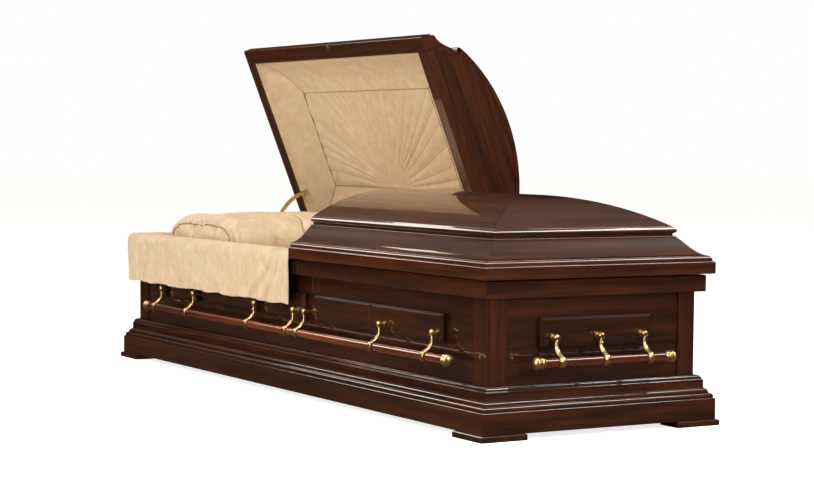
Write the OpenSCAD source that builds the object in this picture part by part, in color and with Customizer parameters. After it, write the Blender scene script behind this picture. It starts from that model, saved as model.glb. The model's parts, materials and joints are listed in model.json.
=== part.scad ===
// Half-couch hardwood casket: a moulded case on four corner feet, a closed foot lid,
// a head lid held open, four swing-bar handles and an upholstered inside.
// The origin is the middle of the case's underside. +X is the foot end, -Y the front.

/* [Case] */
// Length of the case over its corner posts
case_l = 2040; // [1700:10:2450]
// Width of the case over its corner posts
case_w = 600; // [500:10:720]
// Height of the case from its underside to the rim
case_h = 354; // [295:1:425]
// Thickness of the side and end boards
board_t = 20; // [16:1:24]
// How far the boards stand back from the face of the posts
recess = 5; // [3:0.5:8]
// Thickness of the bottom board
bottom_t = 18; // [12:1:24]
// Face width of a corner post seen from the side
post_side = 63; // [45:1:80]
// Face width of a corner post seen from the end
post_end = 50; // [40:1:60]

/* [Base] */
// How far the plinth stands out from the posts
plinth_out = 38.5; // [30:0.5:46]
// Height of the flat plinth board
plinth_h = 53; // [40:1:65]
// How far the cap of the base stands out from the posts
cap_out = 17; // [10:0.5:22]
// Height of the whole base moulding
base_h = 108; // [90:1:130]
// Side of a square corner foot
foot_l = 127; // [90:1:160]
// Height of a corner foot
foot_h = 14.2; // [10:0.1:25]
// How far a foot stands out from the plinth
foot_lip = 7.5; // [4:0.5:12]

/* [Top rail] */
// Height of the band around the top of the case
band_h = 41; // [30:1:50]
// How far the band stands out from the posts
band_out = 18.9; // [12:0.1:26]

/* [Raised panels] */
// Height of a raised panel
panel_h = 72; // [50:1:90]
// Distance from the band down to the top of the panels
panel_drop = 49; // [20:1:60]
// Thickness of a raised panel
panel_t = 16; // [10:1:20]
// Bevel around the face of a raised panel
panel_bevel = 6; // [2:0.5:8]
// Width of the panel on each end
end_panel_w = 320; // [260:5:380]

/* [Lids] */
// Place of the split between the lids, from the middle towards the foot
split_x = 75.6; // [-100:0.1:200]
// Gap between the two lids
split_gap = 3; // [2:0.5:6]
// Gap between the rim of the case and a closed lid
lid_gap = 3; // [2.6:0.2:5]
// How far the lids stand out from the posts
lid_out = 35.2; // [26:0.2:44]
// Height of the square edge of a lid
edge_h = 30.6; // [22:0.2:40]
// Width of the square edge of a lid, seen from below
edge_w = 44; // [36:1:56]
// Height of the curved moulding above the edge
ogee_h = 60; // [50:1:80]
// Height of the neck and bead under the crown
bead_h = 22.4; // [16:0.2:30]
// Rise of the crown above its bead
crown_h = 74.2; // [50:0.2:110]
// Wall of the crown
crown_t = 12; // [8:1:18]
// How far a lid opens
open_deg = 68; // [50:1:75]

/* [Handles] */
// Radius of a handle bar
bar_r = 10.5; // [8:0.5:13]
// Distance of the bar from the face of the posts
bar_out = 45; // [36:1:60]
// Radius of the ball of a lug
ball_r = 8.5; // [7:0.1:10]
// Distance of the pivot from the face of the posts
pivot_out = 27; // [24:0.5:30]
// Height of the pivot above the lower edge of the raised panels
pivot_up = 26; // [14:1:45]
// Distance from the pivot down to the bar
bar_drop = 56; // [45:1:70]
// Radius of a pivot pin
pin_r = 2; // [1.5:0.25:3]
// Radial clearance of a pivot pin
pin_clear = 0.05; // [0.02:0.01:0.1]
// Radius of the caps on the bar ends
cap_r = 15; // [12:0.5:18]
// Length of a cap on a bar end
cap_l = 32; // [24:1:40]

/* [Inside] */
// Height of the top of the mattress below the rim
bed_drop = 69; // [50:1:90]
// Thickness of the mattress
mattress_t = 110; // [60:5:120]
// Thickness of the padded walls
lining_t = 14; // [8:1:20]
// Depth of the middle of the head lid's lining
lining_depth = 75; // [50:1:80]
// Width of the padded border in the lids
border_w = 130; // [90:5:160]
// Thickness of the lid linings
pad_t = 12; // [6:1:16]
// Pillow size along the case, across it and high
pillow_size = [530, 500, 165]; // [100:5:560]
// How far the overlay hangs below the rim
overlay_drop = 126; // [80:1:126]
// Thickness of the hanging overlay
overlay_t = 15; // [6:1:18]
// Height of the overlay's roll above the rim
overlay_roll = 26; // [10:1:30]
// How far the overlay runs on across the head end
overlay_return = 260; // [120:10:400]
// Radius of the head lid's stay about the hinge
stay_r = 160; // [150:5:180]
// Width of the stay bar
stay_w = 12; // [8:1:12]
// Thickness of the stay bar
stay_t = 4; // [3:0.5:5]

/* [Hidden] */
$fn = 64;

half_l = case_l / 2;
half_w = case_w / 2;
inner = recess + board_t;              // from the face of the posts to the inside of a board
band_z = case_h - band_h;
lid_z = case_h + lid_gap;              // underside of a closed lid
ogee_z = lid_z + edge_h;
bead_z = ogee_z + ogee_h;
crown_z = bead_z + bead_h;
edge_in = edge_w - lid_out;            // inside of a lid's edge, inward of the posts
crown_in = 40;                         // foot of the crown, inward of the posts
crown_half = half_w - crown_in;
crown_r = (crown_half * crown_half + crown_h * crown_h) / (2 * crown_h);
crown_axis_z = crown_z + crown_h - crown_r;
hinge_y = half_w + band_out + 1.5;
hinge_z = case_h + lid_gap / 2;
leaf_t = 0.9;
barrel_r = lid_gap / 2 - 0.3;
soft_gap = 0.5;                        // clearance around the padded pieces
bed_z = case_h - bed_drop;             // top of the mattress
deck_z = bed_z - mattress_t - soft_gap;
deck_t = 12;
lining_in = inner + soft_gap + lining_t;
end_room = 25;                         // room for the stay between board and mattress
panel_z = band_z - panel_drop - panel_h;
pivot_z = panel_z + pivot_up;
bar_z = pivot_z - bar_drop;
panel_face = panel_t - recess;         // how far a panel's face stands out from the posts
edge_round = 2.5;
far = case_l * 2;

// Row of raised panels on the front, from the head to the foot end: fixed spaces, and
// widths that share what is left of the run between the posts
front_space = [40, 30, 88, 47, 57, 3, 128];
front_share = [117, 190, 316, 250, 301, 347];
function total(v, n = 0) = n >= len(v) ? 0 : v[n] + total(v, n + 1);
function head_sum(v, n) = n <= 0 ? 0 : v[n - 1] + head_sum(v, n - 1);
front_run = case_l - 2 * post_side - total(front_space);
function front_w(i) = front_run * front_share[i] / total(front_share);
function front_x(i) = -half_l + post_side + head_sum(front_space, i + 1)
    + front_run * head_sum(front_share, i) / total(front_share);

// Each lug on the front: a panel and how far the lug is beyond that panel's foot-end edge,
// on the board between two panels, or negative on the panel itself
front_lug = [[0, 12], [1, 25], [2, 30], [3, -31], [3, 34], [5, -269], [5, -15]];
front_lugs = [for (g = front_lug) front_x(g[0]) + front_w(g[0]) + g[1]];
function front_base(i) = front_lug[i][1] > 0 ? -recess : panel_face;
end_reach = end_panel_w / 2 - 32;
foot_lugs = [-end_reach, 0, end_reach];
head_lugs = [-end_reach, end_reach];
back_reach = half_l - 300;
back_lugs = [-back_reach, 0, back_reach];
end_over = 62;                         // bar beyond its last lug, to the middle of the cap
front_over = 62;
foot_over = 96;

// ---------- outlines, as [distance out from the posts, height] ----------

function arc(cx, cz, r, a0, a1, n = 8) =
    [for (i = [0:n]) let (a = a0 + (a1 - a0) * i / n) [cx + r * cos(a), cz + r * sin(a)]];

// Base: plinth board, two reeds, upright cap and a quarter round up to the posts
reed_z = plinth_h + 3;
cap_z = base_h - 32;
function base_outline() = let (
        mid_out = (plinth_out - 3.5 + cap_out) / 2,
        mid_z = (reed_z + cap_z) / 2)
    concat(
        [[-recess, 0], [plinth_out - 2, 0], [plinth_out, 2]],
        arc(plinth_out - edge_round, plinth_h - edge_round, edge_round, 0, 90, 4),
        [[plinth_out - 4.5, plinth_h], [plinth_out - 4.5, reed_z]],
        bulge(plinth_out - 3.5, reed_z, mid_out + 0.8, mid_z - 0.8, 2.2),
        [[mid_out - 0.6, mid_z - 0.6]],
        bulge(mid_out, mid_z, cap_out + 1, cap_z, 2.2),
        [[cap_out, cap_z + 2], [cap_out, base_h - 12]],
        [[cap_out - 1.5, base_h - 10.5], [cap_out - 2.5, base_h - 10.5]],
        arc(cap_out - 13.5, base_h - 10.5, 10.5, 5, 90, 8),
        [[-recess, base_h]]);

// A line from one point to another that swells out by h
function bulge(x0, z0, x1, z1, h, n = 6) = let (
        dx = x1 - x0, dz = z1 - z0, l = sqrt(dx * dx + dz * dz))
    [for (i = [0:n]) let (t = i / n, s = h * sin(180 * t))
        [x0 + dx * t + s * dz / l, z0 + dz * t - s * dx / l]];

band_outline = concat(
    [[-recess, band_z], [band_out - 1.5, band_z], [band_out, band_z + 1.5]],
    arc(band_out - edge_round, case_h - edge_round, edge_round, 0, 90, 4),
    [[-recess, case_h]]);

edge_outline = concat(
    [[-edge_in, lid_z], [lid_out - 2, lid_z], [lid_out, lid_z + 2]],
    arc(lid_out - edge_round, ogee_z - edge_round, edge_round, 0, 90, 4),
    [[-edge_in, ogee_z]]);

// Ogee: a small sloping step, then a long S that steepens under the crown
step_out = lid_out - 10;
ogee_foot = lid_out - 19;
ogee_top = -34;
step_h = 13;
function ogee_wave(t) = let (e = t * t * (3 - 2 * t))
    [ogee_foot + (ogee_top - ogee_foot) * (0.72 * t + 0.28 * (1 - pow(1 - t, 2.2))),
     ogee_z + step_h + 1.5 + (ogee_h - step_h - 4.5) * (0.55 * t + 0.45 * e)];
ogee_outline = concat(
    [[-edge_in, ogee_z], [step_out + 4.5, ogee_z], [step_out + 4, ogee_z + 2.5],
     [step_out, ogee_z + step_h - 1.5], [step_out - 1.5, ogee_z + step_h]],
    [for (i = [0:14]) ogee_wave(i / 14)],
    [[ogee_top - 1.5, bead_z - 0.8], [ogee_top - 4, bead_z], [-crown_in - crown_t, bead_z],
     [-crown_in - crown_t, bead_z - 8]]);

bead_outline = concat(
    [[-crown_in - crown_t, bead_z], [-crown_in, bead_z], [-crown_in, bead_z + 6]],
    bulge(-crown_in + 0.5, bead_z + 6, -crown_in + 3.5, crown_z - 2.5, 5.5),
    [[-crown_in, crown_z], [-crown_in - crown_t, crown_z]]);

// Padded cove of a lid, from the inside of the edge up to the flat middle
cove_d = lining_depth;
cove_outline = concat(
    [for (i = [0:8]) let (a = 90 * i / 8)
        [-edge_in - soft_gap - border_w * (1 - cos(a)), lid_z + 1 + (cove_d - 1) * sin(a)]],
    [for (i = [8:-1:0]) let (a = 90 * i / 8)
        [-edge_in - soft_gap - border_w * (1 - cos(a)),
         lid_z + 1 + pad_t * 0.75 + (cove_d - 1 + pad_t * 0.25) * sin(a)]]);

lining_outline = concat(
    [[-inner - soft_gap, deck_z + 1], [-inner - soft_gap, case_h - 2]],
    arc(-inner - soft_gap - lining_t / 2, case_h - 2 - lining_t / 2, lining_t / 2, 90, 180, 6),
    [[-lining_in, deck_z + 1]]);

overlay_in = band_out + 2;
overlay_out = overlay_in + overlay_t;
overlay_outline = concat(
    [[-inner - 5, case_h + 1], [overlay_in, case_h + 1], [overlay_in, case_h - overlay_drop]],
    [[overlay_out, case_h - overlay_drop]],
    arc(overlay_out - 14, case_h + overlay_roll - 14, 14, 0, 90, 6),
    arc(-inner - 5 + 10, case_h + overlay_roll - 10, 10, 90, 180, 6));

// ---------- helpers ----------

// A length of moulding along X, outside the line y = 0, its outline turned to face -Y
module length_x(outline, x0, x1) {
    translate([x0, 0, 0]) rotate([90, 0, 90]) linear_extrude(x1 - x0)
        polygon([for (p = outline) [-p[0], p[1]]]);
}

// One side of a mitred frame that is l long and stands w from the middle
module frame_side(outline, l, w) {
    k = 100;
    m = min(l, w * 2) / 2 - 1;
    intersection() {
        translate([0, -w, 0]) length_x(outline, -l / 2 - k, l / 2 + k);
        translate([0, 0, -foot_h - 1]) linear_extrude(case_h + 400)
            polygon([[-l / 2 - k, -w - k], [l / 2 + k, -w - k],
                     [l / 2 - m, -w + m], [-l / 2 + m, -w + m]]);
    }
}

// A closed frame of moulding around the rectangle from x0 to x1, half as wide as hw each way
module frame(outline, x0, x1, hw) {
    translate([(x0 + x1) / 2, 0, 0]) {
        frame_side(outline, x1 - x0, hw);
        rotate([0, 0, 180]) frame_side(outline, x1 - x0, hw);
        rotate([0, 0, 90]) frame_side(outline, 2 * hw, (x1 - x0) / 2);
        rotate([0, 0, -90]) frame_side(outline, 2 * hw, (x1 - x0) / 2);
    }
}

module box(x, y, z) {
    translate([x[0], y[0], z[0]]) cube([x[1] - x[0], y[1] - y[0], z[1] - z[0]]);
}

// What stands on the front is drawn with its face at y = 0 and turned to its own side
module on_front() { translate([0, -half_w, 0]) children(); }
module on_back() { translate([0, half_w, 0]) rotate([0, 0, 180]) children(); }
module on_foot() { translate([half_l, 0, 0]) rotate([0, 0, 90]) children(); }
module on_head() { translate([-half_l, 0, 0]) rotate([0, 0, -90]) children(); }

// A lid is drawn for the foot end, from its cut at x = cut; the head lid is its mirror image
foot_cut = split_x + split_gap / 2;
head_cut = -(split_x - split_gap / 2);
module beyond(cut) {
    intersection() {
        children();
        box([cut, half_l + 100], [-half_w - 100, half_w + 100], [0, crown_z + crown_h + 50]);
    }
}
// The head lid is stored open: it is turned about the hinge from closed
module opened() {
    translate([0, hinge_y, hinge_z]) rotate([-open_deg, 0, 0])
        translate([0, -hinge_y, -hinge_z]) mirror([1, 0, 0]) children();
}

// ---------- case ----------

// L-shaped corner foot, as wide as the plinth and boards above it
module foot_block(sx, sy) {
    out = plinth_out + foot_lip;
    side = concat([[out - foot_l, -foot_h], [out, -foot_h]],
        arc(out - 4, -4, 4, 0, 90, 5), [[out - foot_l, 0]]);
    color("#3a1a0c") mirror([sx < 0 ? 1 : 0, 0, 0]) mirror([0, sy < 0 ? 0 : 1, 0])
        difference() {
            intersection() {
                translate([0, -half_w, 0]) length_x(side, half_l + out - foot_l, half_l + out);
                translate([half_l, 0, 0]) rotate([0, 0, 90])
                    length_x(side, -half_w - out, -half_w - out + foot_l);
            }
            box([half_l + out - foot_l - 1, half_l - inner],
                [-half_w + inner, -half_w - out + foot_l + 1], [-foot_h - 1, 1]);
        }
}

module plinth() {
    color("#3a1a0c") frame(base_outline(), -half_l, half_l, half_w);
}

module bottom_board() {
    color("#5a3a22") box([-half_l + inner, half_l - inner], [-half_w + inner, half_w - inner],
        [0, bottom_t]);
}

module board(l) {
    color("#44200f") box([-l / 2, l / 2], [recess, inner], [0, case_h]);
}

// L-shaped post: it stands proud between the base and the band, and is cut back behind them
module corner_post(sx, sy) {
    ell = function (o, c) [[half_l - post_side, -half_w + o], [half_l - o - c, -half_w + o],
        [half_l - o, -half_w + o + c], [half_l - o, -half_w + post_end],
        [half_l - inner, -half_w + post_end], [half_l - inner, -half_w + inner],
        [half_l - post_side, -half_w + inner]];
    color("#3a1a0c") mirror([sx < 0 ? 1 : 0, 0, 0]) mirror([0, sy < 0 ? 0 : 1, 0]) {
        linear_extrude(case_h) polygon(ell(recess, 0));
        translate([0, 0, base_h]) linear_extrude(band_z - base_h) polygon(ell(0, 2));
    }
}

module top_band() {
    color("#3a1a0c") frame(band_outline, -half_l, half_l, half_w);
}

// Raised panel with a bevel all round its face, standing on the board behind it
module raised_panel(x0, w) {
    side = [[-recess, 0], [panel_face - panel_bevel, 0], [panel_face, panel_bevel],
        [panel_face, panel_h - panel_bevel], [panel_face - panel_bevel, panel_h], [-recess, panel_h]];
    plan = [[x0, recess], [x0, -panel_face + panel_bevel], [x0 + panel_bevel, -panel_face],
        [x0 + w - panel_bevel, -panel_face], [x0 + w, -panel_face + panel_bevel], [x0 + w, recess]];
    color("#43200f") translate([0, 0, panel_z]) intersection() {
        length_x(side, x0, x0 + w);
        linear_extrude(panel_h) polygon(plan);
    }
}

// ---------- inside ----------

module bed_frame() {
    leg_y = half_w - lining_in - 60;
    color("#8a6a45") {
        box([-half_l + inner + end_room, half_l - inner - 3],
            [-half_w + inner + 3, half_w - inner - 3], [deck_z - deck_t, deck_z]);
        for (s = [-1, 1]) box([-half_l + inner + 60, half_l - inner - 60],
            [s * leg_y - 10, s * leg_y + 10], [bottom_t, deck_z - deck_t]);
    }
}

// The sweep of the stay inside the head end, kept free of padding
module stay_room() {
    box([-half_l + inner - 1, -half_l + inner + end_room - 4],
        [hinge_y - stay_r - stay_w - 5, half_w - inner + 1], [hinge_z - stay_r - 25, case_h + 1]);
}

module case_lining() {
    color("#d9ba92") difference() {
        frame(lining_outline, -half_l, half_l, half_w);
        stay_room();
    }
}

module mattress() {
    color("#e2c8a4") box([-half_l + inner + end_room, half_l - lining_in - soft_gap],
        [-half_w + lining_in + soft_gap, half_w - lining_in - soft_gap],
        [bed_z - mattress_t, bed_z]);
}

// Long axis across the case, at the head end
module pillow() {
    a = pillow_size[0] / 2;
    b = pillow_size[2] / 2;
    color("#dfc39c") translate([-half_l + lining_in + 8 + a, pillow_size[1] / 2, bed_z + soft_gap + b])
        rotate([90, 0, 0]) linear_extrude(pillow_size[1])
            polygon([for (i = [0:31]) let (t = 360 * i / 32, c = cos(t), s = sin(t))
                [a * sign(c) * pow(abs(c), 0.6), b * sign(s) * pow(abs(s), 0.75)]]);
}

// Overlay: it lies on the rim of the head half, hangs down the front and turns the corner
module overlay() {
    color("#dcc09a") intersection() {
        frame(overlay_outline, -half_l, half_l + far, half_w);
        union() {
            box([-half_l - 100, split_x - 4], [-half_w - 100, -half_w + inner + 6], [0, case_h + 60]);
            box([-half_l - 100, -half_l + inner + 6], [-half_w - 100, -half_w + overlay_return],
                [0, case_h + 60]);
        }
    }
}

// ---------- lids ----------

// Square edge of a lid: three mitred sides and the member along the cut
module lid_edge(cut) {
    color("#3a1a0c") {
        beyond(cut) frame(edge_outline, -far, half_l, half_w);
        box([cut, cut + edge_w], [-half_w + edge_in, half_w - edge_in], [lid_z, ogee_z]);
    }
}

module lid_ogee(cut) {
    color("#3f1d0e") {
        beyond(cut) frame(ogee_outline, -far, half_l, half_w);
        translate([cut, 0, 0]) rotate([90, 0, 90]) linear_extrude(crown_t + 4) polygon([
            [-half_w + edge_in, ogee_z], [half_w - edge_in, ogee_z],
            [crown_half - crown_t, bead_z - 8], [crown_half - crown_t, bead_z],
            [-crown_half + crown_t, bead_z], [-crown_half + crown_t, bead_z - 8]]);
    }
}

// Vault of radius r over the crown, hipped at the end by the same curve
module hipped_vault(r, x0, z0) {
    end_axis_x = half_l - crown_in - crown_half;
    top = crown_axis_z + r + 10;
    intersection() {
        translate([x0, 0, crown_axis_z]) rotate([0, 90, 0])
            cylinder(r = r, h = half_l - x0 + 200, $fn = 180);
        union() {
            translate([end_axis_x, half_w + 50, crown_axis_z]) rotate([90, 0, 0])
                cylinder(r = r, h = case_w + 100, $fn = 180);
            box([x0, end_axis_x], [-half_w - 50, half_w + 50], [z0, top]);
        }
        box([x0, half_l + 100], [-half_w - 50, half_w + 50], [z0, top]);
    }
}

module lid_crown(cut) {
    color("#5a2c16") {
        difference() {
            hipped_vault(crown_r, cut, crown_z);
            hipped_vault(crown_r - crown_t, cut + crown_t, crown_z - 1);
        }
        beyond(cut) frame(bead_outline, -far, half_l, half_w);
        box([cut, cut + crown_t], [-crown_half + crown_t, crown_half - crown_t], [bead_z, crown_z]);
    }
}

// Padded border of a lid's lining, and the flat panel inside it
module lid_border(cut) {
    color("#d8b98f") frame(cove_outline, cut + edge_w - edge_in, half_l, half_w);
}

module lid_panel(cut, clear) {
    in = edge_in + soft_gap + border_w + clear;
    color("#dcbd94") box([cut + edge_w - edge_in + in, half_l - in], [-half_w + in, half_w - in],
        [lid_z + lining_depth, lid_z + lining_depth + pad_t]);
}

module foot_lid_lining() {
    lid_border(foot_cut);
    lid_panel(foot_cut, -1);
}

stay_x = half_l - inner - 5 - stay_t;  // inner face of the stay bar, for the mirrored lid
module head_lid_border() {
    difference() {
        lid_border(head_cut);
        box([stay_x - 3, half_l], [hinge_y - stay_r - 14, hinge_y - stay_r + 14], [0, lid_z + 30]);
    }
}

// Stay: a curved flat bar about the hinge, on a foot inside the lid's edge. It slides
// through the guide on the head board as the lid turns
stay_sweep = open_deg + 4;
module lid_stay() {
    in_r = stay_r - stay_w / 2;
    color("#c79a4b") {
        translate([stay_x, hinge_y, hinge_z]) rotate([0, 90, 0]) rotate([0, 0, -90])
            rotate_extrude(angle = stay_sweep, $fn = 128)
                translate([in_r, 0]) square([stay_w, stay_t]);
        translate([stay_x, hinge_y - stay_r, hinge_z]) rotate([0, 90, 0])
            cylinder(r = stay_w / 2, h = stay_t);
        box([stay_x, half_l - edge_in], [hinge_y - stay_r - 6, hinge_y - stay_r + 6],
            [lid_z + 1, lid_z + 13]);
    }
}

guide_z = [case_h - 10, case_h - 2];
module stay_guide() {
    clear = [0.7, 1.2];
    drop = hinge_z - (guide_z[0] + guide_z[1]) / 2;
    y = hinge_y - sqrt(stay_r * stay_r - drop * drop);
    color("#b98d43") difference() {
        box([-half_l + inner, -half_l + inner + 13], [y - 13, y + 13], guide_z);
        box([-stay_x - stay_t - clear[0], -stay_x + clear[0]],
            [y - stay_w / 2 - clear[1], y + stay_w / 2 + clear[1]],
            [guide_z[0] - 1, guide_z[1] + 1]);
    }
}

// Continuous hinge: a leaf on the back rim and the barrel on the axis of both lids
module lid_hinge() {
    reach = half_l - 30;
    color("#b98d43") {
        translate([-reach, hinge_y, hinge_z]) rotate([0, 90, 0]) cylinder(r = barrel_r, h = 2 * reach);
        box([-reach, reach], [half_w + band_out - 26, hinge_y], [case_h, case_h + leaf_t]);
    }
}

// ---------- handles, drawn at rest on the front with the posts' face at y = 0 ----------

arm_w = 9;
eye_w = 5;
eye_r = 5;
side_clear = 0.4;
ring_r = bar_r + 3.5;
arm_t = 4.5;

// Middle line of an arm: an S from the pivot out and down to the bar
function arm_line(t) = let (
        top = [pivot_out, pivot_z], low = [bar_out, bar_z],
        s = t * t * (3 - 2 * t), sway = 3.5 * sin(360 * t))
    [top[0] + (low[0] - top[0]) * s - sway, top[1] + (low[1] - top[1]) * t];
function arm_side(t, h) = let (
        p = arm_line(t), q = arm_line(t + 0.01), d = q - p, l = norm(d))
    [p[0] - h * d[1] / l, p[1] + h * d[0] / l];
function arm_outline(t0, t1, n = 12) = concat(
    [for (i = [0:n]) arm_side(t0 + (t1 - t0) * i / n, arm_t / 2)],
    [for (i = [n:-1:0]) arm_side(t0 + (t1 - t0) * i / n, -arm_t / 2)]);

module along(x, w) { translate([x - w / 2, 0, 0]) rotate([90, 0, 90]) linear_extrude(w) children(); }

module arm(x) {
    along(x, eye_w) polygon([for (p = arm_outline(0, 0.35)) [-p[0], p[1]]]);
    along(x, arm_w) polygon([for (p = arm_outline(0.28, 0.98)) [-p[0], p[1]]]);
    translate([x - eye_w / 2, -pivot_out, pivot_z]) rotate([0, 90, 0]) cylinder(r = eye_r, h = eye_w);
    translate([x - arm_w / 2, -bar_out, bar_z]) rotate([0, 90, 0]) cylinder(r = ring_r, h = arm_w);
}

module handle(lugs, over0, over1) {
    x0 = lugs[0] - over0;
    x1 = lugs[len(lugs) - 1] + over1;
    color("#6b2c14") difference() {
        union() {
            for (x = lugs) arm(x);
            translate([x0, -bar_out, bar_z]) rotate([0, 90, 0]) cylinder(r = bar_r, h = x1 - x0);
            for (x = [x0, x1]) translate([x - cap_l / 2, -bar_out, bar_z]) rotate([0, 90, 0])
                rotate_extrude() polygon([[0, 0], [cap_r - 4, 0], [cap_r, 4], [cap_r, cap_l / 2 - 2.5],
                    [cap_r - 2, cap_l / 2], [cap_r, cap_l / 2 + 2.5], [cap_r, cap_l - 4],
                    [cap_r - 4, cap_l], [0, cap_l]]);
        }
        for (x = lugs) translate([x - eye_w, -pivot_out, pivot_z]) rotate([0, 90, 0])
            cylinder(r = pin_r + pin_clear, h = 2 * eye_w);
    }
}

// Lug: a ball on a neck and a rose, slotted from below for the eye of the arm, with its pin
module lug(x, base = panel_face) {
    slot = eye_w + 2 * side_clear;
    color("#c79a4b") translate([x, 0, pivot_z]) {
        difference() {
            union() {
                translate([0, -pivot_out, 0]) sphere(r = ball_r, $fn = 48);
                translate([0, -base, 0]) rotate([90, 0, 0])
                    cylinder(r = ball_r * 0.55, h = pivot_out - base);
                translate([0, -base, 0]) rotate([90, 0, 0]) cylinder(r = ball_r, h = 3);
            }
            translate([-slot / 2, -pivot_out, 0]) rotate([0, 90, 0])
                cylinder(r = eye_r + side_clear, h = slot);
            box([-slot / 2, slot / 2], [-pivot_out - ball_r - 1, -pivot_out + eye_r + 0.8],
                [-ball_r - 1, 0]);
            box([-slot / 2, slot / 2], [-pivot_out - ball_r - 1, -pivot_out],
                [-ball_r - 1, arm_t / 2 + 1]);
        }
        translate([-ball_r + 2, -pivot_out, 0]) rotate([0, 90, 0])
            cylinder(r = pin_r, h = 2 * ball_r - 4);
    }
}

foot_block(1, -1);  // foot_block_1
foot_block(1, 1);  // foot_block_2
foot_block(-1, 1);  // foot_block_3
foot_block(-1, -1);  // foot_block_4
plinth();
bottom_board();
on_front() board(case_l - 2 * post_side);  // front_board
on_back() board(case_l - 2 * post_side);  // back_board
on_foot() board(case_w - 2 * post_end);  // foot_board
on_head() board(case_w - 2 * post_end);  // head_board
corner_post(1, -1);  // corner_post_1
corner_post(1, 1);  // corner_post_2
corner_post(-1, 1);  // corner_post_3
corner_post(-1, -1);  // corner_post_4
top_band();
on_front() raised_panel(front_x(0), front_w(0));  // front_panel_1
on_front() raised_panel(front_x(1), front_w(1));  // front_panel_2
on_front() raised_panel(front_x(2), front_w(2));  // front_panel_3
on_front() raised_panel(front_x(3), front_w(3));  // front_panel_4
on_front() raised_panel(front_x(4), front_w(4));  // front_panel_5
on_front() raised_panel(front_x(5), front_w(5));  // front_panel_6
on_foot() raised_panel(-end_panel_w / 2, end_panel_w);  // foot_panel
on_head() raised_panel(-end_panel_w / 2, end_panel_w);  // head_panel
on_back() raised_panel(-half_l + post_side + 70, case_l - 2 * post_side - 140);  // back_panel
bed_frame();
case_lining();
mattress();
pillow();
overlay();
lid_edge(foot_cut);  // foot_lid_edge
lid_ogee(foot_cut);  // foot_lid_ogee
lid_crown(foot_cut);  // foot_lid_crown
foot_lid_lining();
opened() lid_edge(head_cut);  // head_lid_edge
opened() lid_ogee(head_cut);  // head_lid_ogee
opened() lid_crown(head_cut);  // head_lid_crown
opened() head_lid_border();
opened() lid_panel(head_cut, soft_gap);  // head_lid_panel
opened() lid_stay();
stay_guide();
lid_hinge();
on_front() handle(front_lugs, front_over, foot_over);  // handle_front
on_foot() handle(foot_lugs, end_over, end_over);  // handle_foot
on_back() handle(back_lugs, end_over, end_over);  // handle_back
on_head() handle(head_lugs, end_over, end_over);  // handle_head
on_front() lug(front_lugs[0], front_base(0));  // lug_front_1
on_front() lug(front_lugs[1], front_base(1));  // lug_front_2
on_front() lug(front_lugs[2], front_base(2));  // lug_front_3
on_front() lug(front_lugs[3], front_base(3));  // lug_front_4
on_front() lug(front_lugs[4], front_base(4));  // lug_front_5
on_front() lug(front_lugs[5], front_base(5));  // lug_front_6
on_front() lug(front_lugs[6], front_base(6));  // lug_front_7
on_foot() lug(foot_lugs[0]);  // lug_foot_1
on_foot() lug(foot_lugs[1]);  // lug_foot_2
on_foot() lug(foot_lugs[2]);  // lug_foot_3
on_back() lug(back_lugs[0]);  // lug_back_1
on_back() lug(back_lugs[1]);  // lug_back_2
on_back() lug(back_lugs[2]);  // lug_back_3
on_head() lug(head_lugs[0]);  // lug_head_1
on_head() lug(head_lugs[1]);  // lug_head_2
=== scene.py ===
"""Looks of a half-couch hardwood casket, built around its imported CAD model."""
import json
import math
import random

import bmesh
import bpy
from mathutils import Matrix, Vector, noise
from mathutils.bvhtree import BVHTree


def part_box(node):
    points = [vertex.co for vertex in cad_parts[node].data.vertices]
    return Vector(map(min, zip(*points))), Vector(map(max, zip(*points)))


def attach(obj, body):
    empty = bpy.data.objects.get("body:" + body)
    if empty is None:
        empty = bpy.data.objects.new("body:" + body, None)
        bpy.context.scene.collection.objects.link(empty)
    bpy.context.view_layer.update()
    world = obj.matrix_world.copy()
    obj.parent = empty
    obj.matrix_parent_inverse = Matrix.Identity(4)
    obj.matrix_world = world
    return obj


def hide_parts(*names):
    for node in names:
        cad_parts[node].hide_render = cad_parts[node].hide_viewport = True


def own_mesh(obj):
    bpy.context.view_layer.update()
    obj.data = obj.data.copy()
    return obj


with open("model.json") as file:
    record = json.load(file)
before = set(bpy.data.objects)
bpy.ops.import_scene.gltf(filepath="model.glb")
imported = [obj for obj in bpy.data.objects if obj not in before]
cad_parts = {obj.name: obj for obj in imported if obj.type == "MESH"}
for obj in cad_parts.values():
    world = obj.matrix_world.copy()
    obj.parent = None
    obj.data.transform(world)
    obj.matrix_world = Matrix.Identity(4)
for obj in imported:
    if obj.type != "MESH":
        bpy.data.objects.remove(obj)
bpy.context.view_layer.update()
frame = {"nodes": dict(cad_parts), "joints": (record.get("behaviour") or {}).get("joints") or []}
random.seed(7)
MM = 0.001                                   # metres in a millimetre
METRES = Matrix.Scale(MM, 4)                 # from millimetres to metres

# ---------------------------------------------------------------- materials


def linear(hex_colour):
    """An sRGB hex colour as linear red, green, blue and alpha."""
    parts = [int(hex_colour[i:i + 2], 16) / 255 for i in (1, 3, 5)]
    curve = [c / 12.92 if c <= 0.04045 else ((c + 0.055) / 1.055) ** 2.4 for c in parts]
    return curve + [1]


def fill(tree, node, inputs):
    """Fills a node's inputs with values or with other nodes' outputs."""
    for name, value in inputs.items():
        if isinstance(value, bpy.types.NodeSocket):
            tree.links.new(value, node.inputs[name])
        else:
            node.inputs[name].default_value = value


def add(tree, kind, inputs=None, **settings):
    """Adds a node with its settings and inputs."""
    node = tree.nodes.new(kind)
    for name, value in settings.items():
        setattr(node, name, value)
    fill(tree, node, inputs or {})
    return node


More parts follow.
